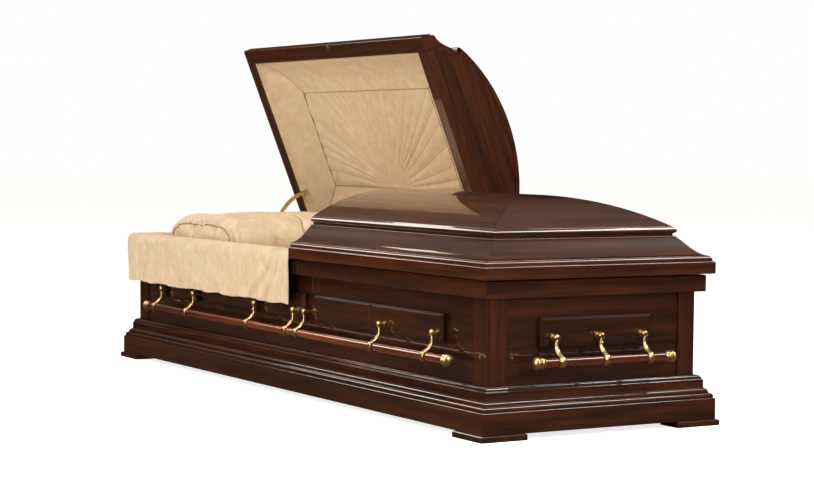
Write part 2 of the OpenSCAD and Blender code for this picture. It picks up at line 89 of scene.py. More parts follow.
def set_stops(ramp, stops):
    """Gives a colour ramp its stops, as (place, hex colour)."""
    elements = ramp.color_ramp.elements
    while len(elements) < len(stops):
        elements.new(0.5)
    for element, (place_on_ramp, colour) in zip(elements, stops):
        element.position = place_on_ramp
        element.color = linear(colour)
    return ramp.outputs["Color"]


def new_material(name, **values):
    """A material with its shader, and the shader's own values."""
    material = bpy.data.materials.new(name)
    material.use_nodes = True
    tree = material.node_tree
    tree.nodes.clear()
    shader = add(tree, "ShaderNodeBsdfPrincipled",
                 {k.replace("_", " "): v for k, v in values.items()})
    add(tree, "ShaderNodeOutputMaterial", {"Surface": shader.outputs["BSDF"]})
    return material, tree, shader


GRAIN_TURN = {"x": (0, 0, 0), "y": (0, 0, -math.pi / 2), "z": (0, math.pi / 2, 0)}


def lacquered_cherry(name, grain, tones, offset=0.0):
    """Cherry stained dark and sprayed with gloss lacquer: long streaks run with the grain under
    a clear, almost mirror-smooth coat. grain is x, y or z, or uv for a piece that carries its
    own map, in metres, with the grain along u."""
    material, tree, shader = new_material(
        name, Roughness=0.38, IOR=1.5, Specular_IOR_Level=0.2, Coat_Weight=1.0,
        Coat_Roughness=0.04, Coat_IOR=1.52)
    place_in = add(tree, "ShaderNodeTexCoord").outputs["UV" if grain == "uv" else "Object"]
    turned = add(tree, "ShaderNodeMapping", {
        "Vector": place_in, "Rotation": GRAIN_TURN.get(grain, (0, 0, 0)),
        "Location": (offset, offset * 0.7, offset * 1.3)}).outputs["Vector"]

    def streaks(along, across, detail, warp=0.0):
        stretched = add(tree, "ShaderNodeMapping", {
            "Vector": turned, "Scale": (along, across, across)}).outputs["Vector"]
        return add(tree, "ShaderNodeTexNoise", {
            "Vector": stretched, "Scale": 1.0, "Detail": detail, "Roughness": 0.6,
            "Distortion": warp}).outputs["Fac"]

    broad = streaks(1.2, 9, 3, 0.6)        # boards differ in tone over 100 mm or so
    figure = streaks(2.5, 55, 5, 0.9)      # growth rings cut lengthways, 15 to 20 mm apart
    fine = streaks(9, 420, 3)              # fine streaks 2 to 3 mm wide
    mixed = add(tree, "ShaderNodeMath", {0: figure, 1: 0.55}, operation="MULTIPLY").outputs[0]
    for layer, share in ((fine, 0.25), (broad, 0.35)):
        mixed = add(tree, "ShaderNodeMath", {0: layer, 1: share, 2: mixed},
                    operation="MULTIPLY_ADD").outputs[0]
    colour = set_stops(add(tree, "ShaderNodeValToRGB", {"Fac": mixed}), [
        (0.42, tones[0]), (0.56, tones[1]), (0.72, tones[2])])
    # the lacquer levels almost flat; a slight wave 20 mm long breaks up its reflections
    wave = add(tree, "ShaderNodeTexNoise", {"Vector": turned, "Scale": 26, "Detail": 1})
    bump = add(tree, "ShaderNodeBump", {"Strength": 0.03, "Distance": 0.004,
                                        "Height": wave.outputs["Fac"]})
    pores = add(tree, "ShaderNodeBump", {"Strength": 0.06, "Distance": 0.0005, "Height": fine})
    fill(tree, shader, {"Base Color": colour, "Coat Normal": bump.outputs["Normal"],
                        "Normal": pores.outputs["Normal"]})
    return material


CASE_TONES = ("#170700", "#2E1303", "#482006")
# painted light: the lids' tones are the case's tones made lighter, so that the lids, which face
# up, look more lit; the wood and lacquer are the same as the case's
LID_TONES_PAINTED_LIGHTER = ("#1D0A01", "#391907", "#55270B")
HANDLE_TONES = ("#2E0D03", "#561F08", "#7E3A15")


def bare_softwood():
    """Planed pine of the hidden boards: pale, matt, with wide soft streaks."""
    material, tree, shader = new_material("bare_planed_pine", Roughness=0.75)
    place_in = add(tree, "ShaderNodeTexCoord").outputs["Object"]
    stretched = add(tree, "ShaderNodeMapping", {"Vector": place_in, "Scale": (2, 45, 45)})
    streak = add(tree, "ShaderNodeTexNoise", {
        "Vector": stretched.outputs["Vector"], "Scale": 1, "Detail": 5,
        "Distortion": 0.8}).outputs["Fac"]
    colour = set_stops(add(tree, "ShaderNodeValToRGB", {"Fac": streak}), [
        (0.35, "#8A6238"), (0.5, "#B58A57"), (0.7, "#CDA673")])
    bump = add(tree, "ShaderNodeBump", {"Strength": 0.2, "Distance": 0.001, "Height": streak})
    fill(tree, shader, {"Base Color": colour, "Normal": bump.outputs["Normal"]})
    return material


def polished_brass():
    """Cast brass, polished and lacquered: warm yellow, bright, slightly uneven from hand
    polishing."""
    material, tree, shader = new_material("polished_brass", Metallic=1.0)
    place_in = add(tree, "ShaderNodeTexCoord").outputs["Object"]
    cloud = add(tree, "ShaderNodeTexNoise", {"Vector": place_in, "Scale": 90, "Detail": 3})
    cloud = cloud.outputs["Fac"]
    colour = set_stops(add(tree, "ShaderNodeValToRGB", {"Fac": cloud}), [
        (0.35, "#D2AA66"), (0.65, "#F2DBA8")])
    rough = add(tree, "ShaderNodeMapRange", {"Value": cloud, "To Min": 0.26, "To Max": 0.38})
    fill(tree, shader, {"Base Color": colour, "Roughness": rough.outputs["Result"]})
    return material


def velvet(name, shade, light, nap=30):
    """Champagne velvet: a soft short pile whose nap lies this way and that, so the tone drifts
    in patches, with a pale sheen where the surface turns away. The pile is drawn as 1.2 mm
    tufts, coarser than it is, so that it shows."""
    material, tree, shader = new_material(
        name, Roughness=0.85, Sheen_Weight=0.5, Sheen_Roughness=0.35,
        Sheen_Tint=linear("#FFF3E2"), Specular_IOR_Level=0.25)
    place_in = add(tree, "ShaderNodeTexCoord").outputs["Object"]
    patches = add(tree, "ShaderNodeTexNoise", {
        "Vector": place_in, "Scale": nap, "Detail": 4, "Roughness": 0.6,
        "Distortion": 0.7}).outputs["Fac"]
    tufts = add(tree, "ShaderNodeTexNoise", {"Vector": place_in, "Scale": 800, "Detail": 2})
    tufts = tufts.outputs["Fac"]
    both = add(tree, "ShaderNodeMath", {0: tufts, 1: 0.3, 2: patches}, operation="MULTIPLY_ADD")
    colour = set_stops(add(tree, "ShaderNodeValToRGB", {"Fac": both.outputs[0]}), [
        (0.45, shade), (0.85, light)])
    soft = add(tree, "ShaderNodeBump", {"Strength": 0.12, "Distance": 0.003, "Height": patches})
    pile = add(tree, "ShaderNodeBump", {"Strength": 0.3, "Distance": 0.0006, "Height": tufts,
                                        "Normal": soft.outputs["Normal"]})
    fill(tree, shader, {"Base Color": colour, "Normal": pile.outputs["Normal"]})
    return material


def twisted_piping():
    """Piping cord covered in brown satin: darker than the velvet, with a fine diagonal twist
    about 2 mm long."""
    material, tree, shader = new_material("brown_satin_piping", Roughness=0.5,
                                          Sheen_Weight=0.2)
    place_in = add(tree, "ShaderNodeTexCoord").outputs["Object"]
    twist = add(tree, "ShaderNodeTexWave", {"Vector": place_in, "Scale": 150, "Distortion": 2},
                bands_direction="DIAGONAL").outputs["Fac"]
    colour = set_stops(add(tree, "ShaderNodeValToRGB", {"Fac": twist}), [
        (0.2, "#8A5F36"), (0.8, "#B48A5A")])
    bump = add(tree, "ShaderNodeBump", {"Strength": 0.3, "Distance": 0.0005, "Height": twist})
    fill(tree, shader, {"Base Color": colour, "Normal": bump.outputs["Normal"]})
    return material


materials = {
    "case_x": lacquered_cherry("gloss_cherry_case_long", "x", CASE_TONES),
    "case_y": lacquered_cherry("gloss_cherry_case_end", "y", CASE_TONES, 0.3),
    "case_z": lacquered_cherry("gloss_cherry_post", "z", CASE_TONES, 0.6),
    "case_uv": lacquered_cherry("gloss_cherry_case_moulding", "uv", CASE_TONES, 0.9),
    # the lids' copy of the cherry, made lighter as painted light on the lids
    "lid_uv_painted_lighter": lacquered_cherry("gloss_cherry_lid_moulding_painted_lighter", "uv", LID_TONES_PAINTED_LIGHTER, 1.4),
    "handle": lacquered_cherry("gloss_cherry_handle", "uv", HANDLE_TONES, 2.1),
    "pine": bare_softwood(),
    "brass": polished_brass(),
    "lining": velvet("champagne_velvet_lining", "#D4B792", "#E2CBAA"),
    "bed": velvet("champagne_velvet_bed", "#D2B189", "#E2C9A5", 22),
    "pillow": velvet("champagne_velvet_pillow", "#D0B694", "#E0CCAE", 25),
    "overlay": velvet("champagne_velvet_overlay", "#CDB18D", "#DDC8A8", 25),
    "piping": twisted_piping(),
}

# ---------------------------------------------------------------- CAD nodes that keep their shape


def key_for_node(name):
    """The finish of a CAD node, from its name: the grain runs with the length of each board."""
    if name.startswith(("lug", "lid_hinge", "lid_stay", "stay_guide")):
        return "brass"
    if name in ("bottom_board", "bed_frame"):
        return "pine"
    if name.startswith("corner_post"):
        return "case_z"
    if name in ("foot_board", "head_board", "foot_panel", "head_panel"):
        return "case_y"
    return "case_x"


for node_name, node_object in frame["nodes"].items():
    node_object.data.materials.clear()
    node_object.data.materials.append(materials[key_for_node(node_name)])

# ---------------------------------------------------------------- drawing in millimetres
# Pieces are drawn in millimetres, as a workshop does, and become metres when their mesh is made.


def box_mm(node):
    """A CAD node's lowest and highest corner, in millimetres."""
    low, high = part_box(node)
    return low / MM, high / MM


HALF_L = box_mm("corner_post_1")[1].x        # faces of the corner posts, from the middle
HALF_W = box_mm("corner_post_2")[1].y
RIM_Z = box_mm("top_band")[1].z              # top of the case
BAND_Z = box_mm("top_band")[0].z
BAND_OUT = box_mm("top_band")[1].x - HALF_L  # how far pieces stand out from the posts' faces
PLINTH_OUT = box_mm("plinth")[1].x - HALF_L
BASE_H = box_mm("plinth")[1].z
RECESS = HALF_L - box_mm("foot_board")[1].x
INNER = HALF_L - box_mm("foot_board")[0].x
LID_Z = box_mm("foot_lid_edge")[0].z         # underside of a closed lid
OGEE_Z = box_mm("foot_lid_edge")[1].z
BEAD_Z = box_mm("foot_lid_ogee")[1].z
APEX_Z = box_mm("foot_lid_crown")[1].z
LID_OUT = box_mm("foot_lid_edge")[1].x - HALF_L
FOOT_CUT = box_mm("foot_lid_edge")[0].x      # cut faces of the two lids
HEAD_CUT = box_mm("head_lid_edge")[1].x
FLOOR_Z = box_mm("foot_block_1")[0].z
EDGE_W = 44                                  # square edge of a lid, seen from below
EDGE_IN = EDGE_W - LID_OUT
CROWN_IN = 40                                # foot of the crown, inward of the posts
CROWN_Z = BEAD_Z + 22.4
CROWN_T = 12
CROWN_SHARP = 14                             # degrees; the crown's mitres are shallow
NECK_T = 8                                   # lip of the ogee, under the crown
OGEE_END_T = 16                              # plate that closes the ogee at the cut
PLINTH_H = 53                                # plain board at the bottom of the plinth
CAP_OUT = 17                                 # how far the cap of the plinth stands out
hinge_joint = next(j for j in frame["joints"] if j["name"] == "head_lid_hinge")
HINGE = Vector(hinge_joint["pos_m"]) / MM
OPEN = math.radians(-hinge_joint["range_deg"][0])
# Lids are drawn closed; the head lid and what is on it are then turned to where they rest, open.
SHUT = Matrix()
OPENED = (Matrix.Translation(HINGE) @ Matrix.Rotation(-OPEN, 4, "X")
          @ Matrix.Translation(-HINGE))


def arc(middle_out, middle_z, radius, start, end, count):
    """Points on a round stretch of an outline, by angles in degrees."""
    angles = [math.radians(start + (end - start) * i / count) for i in range(count + 1)]
    return [(middle_out + radius * math.cos(a), middle_z + radius * math.sin(a)) for a in angles]


def swelling(start, end, height, count=10):
    """A reed: the line from start to end, swollen outwards by height."""
    (x0, z0), (x1, z1) = start, end
    length = math.hypot(x1 - x0, z1 - z0)
    points = []
    for i in range(count + 1):
        t = i / count
        swell = height * math.sin(math.pi * t)
        points.append((x0 + (x1 - x0) * t + swell * (z1 - z0) / length,
                       z0 + (z1 - z0) * t - swell * (x1 - x0) / length))
    return points


def smooth_step(low, high, value):
    """Rises softly from 0 to 1 as the value goes from low to high."""
    t = min(1, max(0, (value - low) / (high - low)))
    return t * t * (3 - 2 * t)


def new_object(name, data):
    """An object of its own in the scene."""
    made = bpy.data.objects.new(name, data)
    bpy.context.scene.collection.objects.link(made)
    return made


def dress(piece, key):
    """Gives a piece one material all over, and smooth shading."""
    piece.data.materials.clear()
    piece.data.materials.append(materials[key])
    for polygon in piece.data.polygons:
        polygon.use_smooth = True
    return piece


def to_object(bm, name, key, sharp=32, turn=SHUT):
    """Makes an object of a mesh drawn in millimetres: cleaned, turned, facing outwards, smooth
    but for edges sharper than the angle given."""
    bmesh.ops.remove_doubles(bm, verts=bm.verts, dist=0.002)
    bmesh.ops.transform(bm, matrix=turn, verts=bm.verts)
    bmesh.ops.transform(bm, matrix=METRES, verts=bm.verts)
    bmesh.ops.recalc_face_normals(bm, faces=bm.faces)
    for edge in bm.edges:
        edge.smooth = len(edge.link_faces) == 2 and edge.calc_face_angle(0) < math.radians(sharp)
    for face in bm.faces:
        face.smooth = True
    mesh = bpy.data.meshes.new(name)
    bm.to_mesh(mesh)
    bm.free()
    mesh.materials.append(materials[key])
    return new_object(name, mesh)


def evaluated(piece):
    """Turns a piece's modifiers into a plain mesh."""
    graph = bpy.context.evaluated_depsgraph_get()
    mesh = bpy.data.meshes.new_from_object(piece.evaluated_get(graph))
    piece.modifiers.clear()
    piece.data = mesh
    return piece


def subdivided(piece):
    """Adds one subdivision to a piece."""
    smoother = piece.modifiers.new("smooth", "SUBSURF")
    smoother.levels = smoother.render_levels = 1
    return piece


def thickened(piece, thickness, offset=-1):
    """Gives an open surface its wall, in millimetres: inwards, or to both sides at offset 0."""
    wall = piece.modifiers.new("wall", "SOLIDIFY")
    wall.thickness = thickness * MM
    wall.offset = offset
    return evaluated(piece)


def place(piece, body, slot, *nodes):
    """Sets a finished piece on its body, in place of CAD nodes. slot is not used."""
    if nodes:
        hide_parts(*nodes)
    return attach(piece, body)


# ---------------------------------------------------------------- mitred mouldings


def add_sweep(bm, outline, path, closed_path=False, closed_outline=True):
    """Runs an outline of (distance out, height) along a path in plan that goes round
    counter-clockwise, with mitred corners. Its map has the grain along u, in metres."""
    uv = bm.loops.layers.uv.verify()
    count = len(path)
    sides = count if closed_path else count - 1
    ways = [(Vector(path[(i + 1) % count]) - Vector(path[i])).normalized() for i in range(sides)]
    outward = [Vector((way.y, -way.x)) for way in ways]
    rings = []
    for i, corner in enumerate(path):
        leaning = Vector((0, 0))
        if closed_path or i > 0:
            leaning += outward[i - 1]
        if closed_path or i < sides:
            leaning += outward[i % sides]
        rings.append([bm.verts.new((corner[0] + leaning.x * out, corner[1] + leaning.y * out, z))
                      for out, z in outline])
    run = [0]
    for (x0, z0), (x1, z1) in zip(outline, outline[1:] + outline[:1]):
        run.append(run[-1] + math.hypot(x1 - x0, z1 - z0))
    for i in range(sides):
        here, there = rings[i], rings[(i + 1) % count]
        for j in range(len(outline) - (0 if closed_outline else 1)):
            k = (j + 1) % len(outline)
            face = bm.faces.new((here[j], there[j], there[k], here[k]))
            for loop, across in zip(face.loops, (run[j], run[j], run[j + 1], run[j + 1])):
                along = Vector(loop.vert.co.xy).dot(ways[i])
                loop[uv].uv = ((along + 370 * i) * MM, (across + 130 * i) * MM)
    if closed_outline and not closed_path:
        for ring, way in ((rings[0], outward[0]), (rings[-1], outward[-1])):
            face = bm.faces.new(ring)
            for loop in face.loops:
                loop[uv].uv = (loop.vert.co.z * MM, Vector(loop.vert.co.xy).dot(way) * MM)


def add_cut_board(bm, outline, x0, x1):
    """A board across a lid's cut end, from its outline of (y, z), with the grain along y. The
    edges of its face at x0 are eased, so they catch the light."""
    ease, side_ease = 1.8, 1.2
    uv = bm.loops.layers.uv.verify()
    heights = [z for _, z in outline]
    centre = (min(heights) + max(heights)) / 2
    eased = [(y - math.copysign(side_ease, y), z + (ease if z < centre else -ease))
             for y, z in outline]
    into = math.copysign(ease, x1 - x0)
    ends = [[bm.verts.new((x, y, z)) for y, z in ring]
            for x, ring in ((x0, eased), (x0 + into, outline), (x1, outline))]
    faces = [bm.faces.new(ends[0]), bm.faces.new(ends[-1])]
    for here, there in zip(ends, ends[1:]):
        for j in range(len(outline)):
            k = (j + 1) % len(outline)
            faces.append(bm.faces.new((here[j], there[j], there[k], here[k])))
    for face in faces:
        for loop in face.loops:
            loop[uv].uv = (loop.vert.co.y * MM, (loop.vert.co.z + loop.vert.co.x) * MM)


def base_outline():
    """Plinth board, groove, two reeds, upright cap and a quarter round up to the posts."""
    reed_z, cap_z = PLINTH_H + 3, BASE_H - 32
    mid_out, mid_z = (PLINTH_OUT - 3.5 + CAP_OUT) / 2, (reed_z + cap_z) / 2
    return ([(-RECESS, 0), (PLINTH_OUT - 2, 0)] + arc(PLINTH_OUT - 2, 2, 2, -90, 0, 4)
            + arc(PLINTH_OUT - 4, PLINTH_H - 4, 4, 0, 90, 8)
            + [(PLINTH_OUT - 4.5, PLINTH_H), (PLINTH_OUT - 4.5, reed_z)]
            + swelling((PLINTH_OUT - 3.5, reed_z), (mid_out + 0.8, mid_z - 0.8), 2.2)
            + [(mid_out - 0.6, mid_z - 0.6)]
            + swelling((mid_out, mid_z), (CAP_OUT + 1, cap_z), 2.2)
            + [(CAP_OUT, cap_z + 2)]
            + arc(CAP_OUT - 2, BASE_H - 13, 2, 0, 90, 5) + [(CAP_OUT - 2.5, BASE_H - 10.5)]
            + arc(CAP_OUT - 13.5, BASE_H - 10.5, 10.5, 5, 90, 12) + [(-RECESS, BASE_H)])


def band_outline():
    """Upright band under the lids, rounded more at its top edge."""
    return ([(-RECESS, BAND_Z)] + arc(BAND_OUT - 2, BAND_Z + 2, 2, -90, 0, 4)
            + arc(BAND_OUT - 3.5, RIM_Z - 3.5, 3.5, 0, 90, 8) + [(-RECESS, RIM_Z)])


def edge_outline():
    """Square edge of a lid, with rounded corners."""
    return ([(-EDGE_IN, LID_Z)] + arc(LID_OUT - 2, LID_Z + 2, 2, -90, 0, 5)
            + arc(LID_OUT - 4, OGEE_Z - 4, 4, 0, 90, 8) + [(-EDGE_IN, OGEE_Z)])


def ogee_outline():
    """A small sloping step, then a long S that steepens under the crown."""
    step_out, wave_foot, wave_top = LID_OUT - 10, LID_OUT - 19, -34
    step_z = OGEE_Z + 13
    rise = BEAD_Z - 3 - (step_z + 1.5)
    points = [(-EDGE_IN, OGEE_Z), (step_out + 4.5, OGEE_Z), (step_out + 4.2, OGEE_Z + 2)]
    points += swelling((step_out + 4, OGEE_Z + 3), (step_out, step_z - 2), 1.2, 6)
    points += arc(step_out - 2, step_z - 2, 2, 0, 90, 5)
    for i in range(25):
        t = i / 24
        drop_in = 0.72 * t + 0.28 * (1 - (1 - t) ** 2.2)
        points.append((wave_foot + (wave_top - wave_foot) * drop_in,
                       step_z + 1.5 + rise * (0.55 * t + 0.45 * t * t * (3 - 2 * t))))
    points += arc(wave_top - 2, BEAD_Z - 2, 2, 20, 90, 4)
    return points + [(-CROWN_IN - CROWN_T, BEAD_Z), (-CROWN_IN - CROWN_T, BEAD_Z - NECK_T)]


CROWN_HALF = HALF_W - CROWN_IN
CROWN_RISE = APEX_Z - CROWN_Z
CROWN_R = (CROWN_HALF ** 2 + CROWN_RISE ** 2) / (2 * CROWN_RISE)


def vault_z(across, radius=CROWN_R):
    """Height of the crown's round at a distance from its middle line."""
    return APEX_Z - CROWN_R + math.sqrt(radius ** 2 - across ** 2)


def crown_outline():
    """Neck, bead and the round of the crown, from its foot up to the middle line."""
    points = [(-CROWN_IN, BEAD_Z), (-CROWN_IN, BEAD_Z + 6)]
    points += swelling((-CROWN_IN + 0.5, BEAD_Z + 6), (-CROWN_IN + 3.5, CROWN_Z - 2.5), 5.5, 14)
    points.append((-CROWN_IN + 0.2, CROWN_Z - 0.3))
    steps = 40
    for i in range(steps + 1):
        across = CROWN_HALF * (1 - i / steps)
        points.append((-HALF_W + across, vault_z(across)))
    return points


def lid_path(cut, inward):
    """Round a lid in plan, from its cut face and back to it."""
    if inward > 0:
        return [(cut, -HALF_W), (HALF_L, -HALF_W), (HALF_L, HALF_W), (cut, HALF_W)]
    return [(cut, HALF_W), (-HALF_L, HALF_W), (-HALF_L, -HALF_W), (cut, -HALF_W)]


def make_lid_wood(side, cut, inward, turn):
    """Edge, ogee and crown of a lid; inward is +1 or -1, from the cut face into the lid."""
    body = side + "_lid"
    path = lid_path(cut, inward)
    reach = HALF_W - EDGE_IN
    top = CROWN_HALF - CROWN_T
    foot = BEAD_Z - NECK_T
    bm = bmesh.new()
    add_sweep(bm, edge_outline(), path)
    add_cut_board(bm, [(-reach, LID_Z), (reach, LID_Z), (reach, OGEE_Z), (-reach, OGEE_Z)],
                  cut, cut + inward * EDGE_W)
    place(to_object(bm, side + "_lid_square_edge", "lid_uv_painted_lighter", turn=turn), body, "lid_wood",
          side + "_lid_edge")

    bm = bmesh.new()
    add_sweep(bm, ogee_outline(), path)
    add_cut_board(bm, [(-reach, OGEE_Z), (reach, OGEE_Z), (top, foot), (top, BEAD_Z),
                       (-top, BEAD_Z), (-top, foot)], cut, cut + inward * OGEE_END_T)
    place(to_object(bm, side + "_lid_ogee_moulding", "lid_uv_painted_lighter", turn=turn), body, "lid_wood",
          side + "_lid_ogee")

    # the crown is a shell, closed at the cut by an arched board
    bm = bmesh.new()
    add_sweep(bm, crown_outline(), path, closed_outline=False)
    crown = thickened(to_object(bm, side + "_lid_vaulted_crown", "lid_uv_painted_lighter", CROWN_SHARP, turn),
                      CROWN_T)
    bm = bmesh.new()
    bm.from_mesh(crown.data)
    bmesh.ops.transform(bm, matrix=(METRES @ turn).inverted(), verts=bm.verts)
    inside = CROWN_R - CROWN_T
    steps = 32
    across = [top * (1 - 2 * i / steps) for i in range(steps + 1)]
    arch = [(y, vault_z(abs(y), inside)) for y in across]
    add_cut_board(bm, [(-top, BEAD_Z), (top, BEAD_Z)] + arch, cut, cut + inward * CROWN_T)
    joined = to_object(bm, side + "_lid_crown_board", "lid_uv_painted_lighter", CROWN_SHARP, turn)
    crown.data = joined.data
    bpy.data.objects.remove(joined)
    place(crown, body, "lid_wood", side + "_lid_crown")


def make_case_mouldings():
    """Plinth and top band, mitred round the four sides of the case."""
    ring = [(-HALF_L, -HALF_W), (HALF_L, -HALF_W), (HALF_L, HALF_W), (-HALF_L, HALF_W)]
    for name, outline, node in (("moulded_plinth", base_outline(), "plinth"),
                                ("rim_band", band_outline(), "top_band")):
        bm = bmesh.new()
        add_sweep(bm, outline, ring, closed_path=True)
        place(to_object(bm, name, "case_uv"), "case", "case_wood", node)


make_case_mouldings()
make_lid_wood("foot", FOOT_CUT, 1, SHUT)
make_lid_wood("head", HEAD_CUT, -1, OPENED)

# ---------------------------------------------------------------- handles


def instance_tree(name, material):
    """A node tree that sets a copy of one shape at each point of the mesh it is given."""
    tree = bpy.data.node_groups.new(name, "GeometryNodeTree")
    face = tree.interface
    face.new_socket("Geometry", in_out="INPUT", socket_type="NodeSocketGeometry")
    shape = face.new_socket("Shape", in_out="INPUT", socket_type="NodeSocketObject")
    face.new_socket("Geometry", in_out="OUTPUT", socket_type="NodeSocketGeometry")
    given = add(tree, "NodeGroupInput")
    copy = add(tree, "GeometryNodeObjectInfo", {"Object": given.outputs["Shape"]})
    points = add(tree, "GeometryNodeMeshToPoints", {"Mesh": given.outputs["Geometry"]})
    placed = add(tree, "GeometryNodeInstanceOnPoints", {
        "Points": points.outputs["Points"], "Instance": copy.outputs["Geometry"]})
    real = add(tree, "GeometryNodeRealizeInstances", {"Geometry": placed.outputs["Instances"]})
    finish = add(tree, "GeometryNodeSetMaterial", {
        "Geometry": real.outputs["Geometry"], "Material": material})
    add(tree, "NodeGroupOutput", {"Geometry": finish.outputs["Geometry"]})
    return tree, shape.identifier


set_out_tree, SHAPE_INPUT = instance_tree("set_out_along_a_rail", materials["brass"])


def set_out(name, shape, places, turn):
    """Copies of a shape at places given in millimetres on a side of the case, as one piece."""
    mesh = bpy.data.meshes.new(name)
    mesh.from_pydata([Vector(p) * MM for p in places], [], [])
    piece = new_object(name, mesh)
    nodes = piece.modifiers.new("copies", "NODES")
    nodes.node_group = set_out_tree
    nodes[SHAPE_INPUT] = shape
    evaluated(piece)
    piece.data.transform(turn)
    return piece


def add_rings(bm, rings):
    """Skins rings of points, each ring as long as the next, and closes the two ends."""
    uv = bm.loops.layers.uv.verify()
    made = [[bm.verts.new(p) for p in ring] for ring in rings]
    along = 0.0
    for here, there in zip(made, made[1:]):
        step = (here[0].co - there[0].co).length
        around = 0.0
        for j in range(len(here)):
            k = (j + 1) % len(here)
            face = bm.faces.new((here[j], here[k], there[k], there[j]))
            width = (here[j].co - here[k].co).length
            spots = ((along, around), (along, around + width),
                     (along + step, around + width), (along + step, around))
            for loop, spot in zip(face.loops, spots):
                loop[uv].uv = (spot[0] * MM, spot[1] * MM)
            around += width
        along += step
    bm.faces.new(made[0])
    bm.faces.new(made[-1])


def turned_rings(profile, sides, centre):
    """Rings of a shape turned about the X direction, from (x, radius) pairs."""
    return [[(x, centre[0] + radius * math.cos(math.tau * k / sides),
              centre[1] + radius * math.sin(math.tau * k / sides)) for k in range(sides)]
            for x, radius in profile]


BAR_R = 10.5                                 # wooden bar
BAR_OUT, BAR_Z = 45, 162                     # its middle line, out from the posts and up
PIVOT_OUT, PIVOT_Z = 27, 218                 # the pins that a handle swings on
CAP_HALF = 16                                # half the length of an end cap
CAP_LAP = 6                                  # how far a cap reaches past the end of its bar
CURL_R = 13                                  # an arm's curl round the bar
NECK_OUT, NECK_Z = 29.6, 201                 # second ball on the neck of some arms


def arm_line():
    """Middle line of a handle arm as (out, z): from the eye an S outwards, then round the bar
    to a point beneath it; with its width and thickness."""
    line = [(PIVOT_OUT, PIVOT_Z - 3, 5, 5), (PIVOT_OUT, 210, 5, 6.4),
            (PIVOT_OUT, 207.4, 8.2, 7.4), (PIVOT_OUT, 201, 9.4, 7.6), (28, 194.5, 11, 7.4),
            (30.8, 188, 12.8, 7), (35.4, 182, 14.4, 6.4)]
    for i in range(13):
        a = math.radians(84 - 196 * i / 12)
        t = i / 12
        width = 15.4 + 1.8 * math.sin(math.pi * t / 0.8) if t < 0.8 else 15.4 - 56 * (t - 0.8)
        line.append((BAR_OUT + CURL_R * math.cos(a), BAR_Z + CURL_R * math.sin(a), width,
                     5.4 - 3 * t))
    return line


def make_arm():
    """One cast arm with a raised rib down its face, at x = 0 on the front."""
    bm = bmesh.new()
    line = arm_line()
    sides = 14
    rings = []
    for i, (out, z, width, thick) in enumerate(line):
        before, after = line[max(0, i - 1)], line[min(len(line) - 1, i + 1)]
        way = Vector((after[0] - before[0], after[1] - before[1])).normalized()
        normal = Vector((-way.y, way.x))
        ring = []
        for k in range(sides):
            a = math.tau * k / sides
            across = math.copysign(abs(math.cos(a)) ** 0.7, math.cos(a)) * width / 2
            lift = math.copysign(abs(math.sin(a)) ** 0.8, math.sin(a)) * thick / 2
            if lift > 0:
                lift *= 1 + 0.25 * math.exp(-(across / (width * 0.16)) ** 2)
            ring.append((across, -(out + normal.x * lift), z + normal.y * lift))
        rings.append(ring)
    add_rings(bm, rings)
    eye = [(-2.5, 0.05), (-2.5, 4), (-2.3, 4.6), (0, 4.9), (2.3, 4.6), (2.5, 4), (2.5, 0.05)]
    add_rings(bm, turned_rings(eye, 24, (-PIVOT_OUT, PIVOT_Z)))
    return evaluated(subdivided(to_object(bm, "arm_shape", "brass", 50)))


def make_knob():
    """Small second ball on the neck of some arms."""
    bm = bmesh.new()
    bmesh.ops.create_uvsphere(bm, u_segments=20, v_segments=12, radius=4.6)
    bmesh.ops.transform(bm, matrix=Matrix.Translation((0, -NECK_OUT, NECK_Z)), verts=bm.verts)
    return to_object(bm, "knob_shape", "brass", 80)


def cap_profile():
    """Outline of a handle's end cap along the bar, outer end first."""
    ends = [(-CAP_HALF, 0.05), (-CAP_HALF + 0.4, 4.5), (-CAP_HALF + 1.6, 8.4),
            (-CAP_HALF + 3.2, 11), (-CAP_HALF + 4, 12)]
    first = [(-12 + 11 * i / 10, 12 + 3 * math.sin(math.pi * i / 10)) for i in range(11)]
    second = [(1 + 11 * i / 10, 12 + 2.4 * math.sin(math.pi * i / 10)) for i in range(11)]
    return ends + first + [(0, 11.4)] + second + [(13, 11.6), (CAP_HALF, 11.2),
                                                  (CAP_HALF, 0.05)]


def make_handle(side, lugs, knobs, over):
    """Bar, arms and end caps of one handle, drawn on the front and turned to its side. lugs and
    knobs are places along it, and over is how far it runs past the first and last lug."""
    body, turn = "handle_" + side, side_turn(side)
    x0, x1 = lugs[0] - over[0], lugs[-1] + over[1]
    count = max(2, int((x1 - x0) / 60))
    start, length = x0 - CAP_HALF + CAP_LAP, x1 - x0 + 2 * (CAP_HALF - CAP_LAP)
    bar = [(start + length * i / count, BAR_R) for i in range(count + 1)]
    bm = bmesh.new()
    add_rings(bm, turned_rings(bar, 36, (-BAR_OUT, BAR_Z)))
    wood = to_object(bm, side + "_handle_bar", "handle", 60)
    wood.data.transform(turn)
    place(wood, body, "handle_wood", body)
    arms = set_out(side + "_handle_arms", arm_shape, [(x, 0, 0) for x in lugs], turn)
    place(arms, body, "brass")
    if knobs:
        small = set_out(side + "_handle_knobs", knob_shape, [(x, 0, 0) for x in knobs], turn)
        place(small, body, "brass")
    bm = bmesh.new()
    for x, way in ((x0, 1), (x1, -1)):
        profile = [(x + way * dx, radius) for dx, radius in cap_profile()]
        add_rings(bm, turned_rings(profile, 32, (-BAR_OUT, BAR_Z)))
    caps = to_object(bm, side + "_handle_caps", "brass", 50)
    caps.data.transform(turn)
    place(caps, body, "brass")


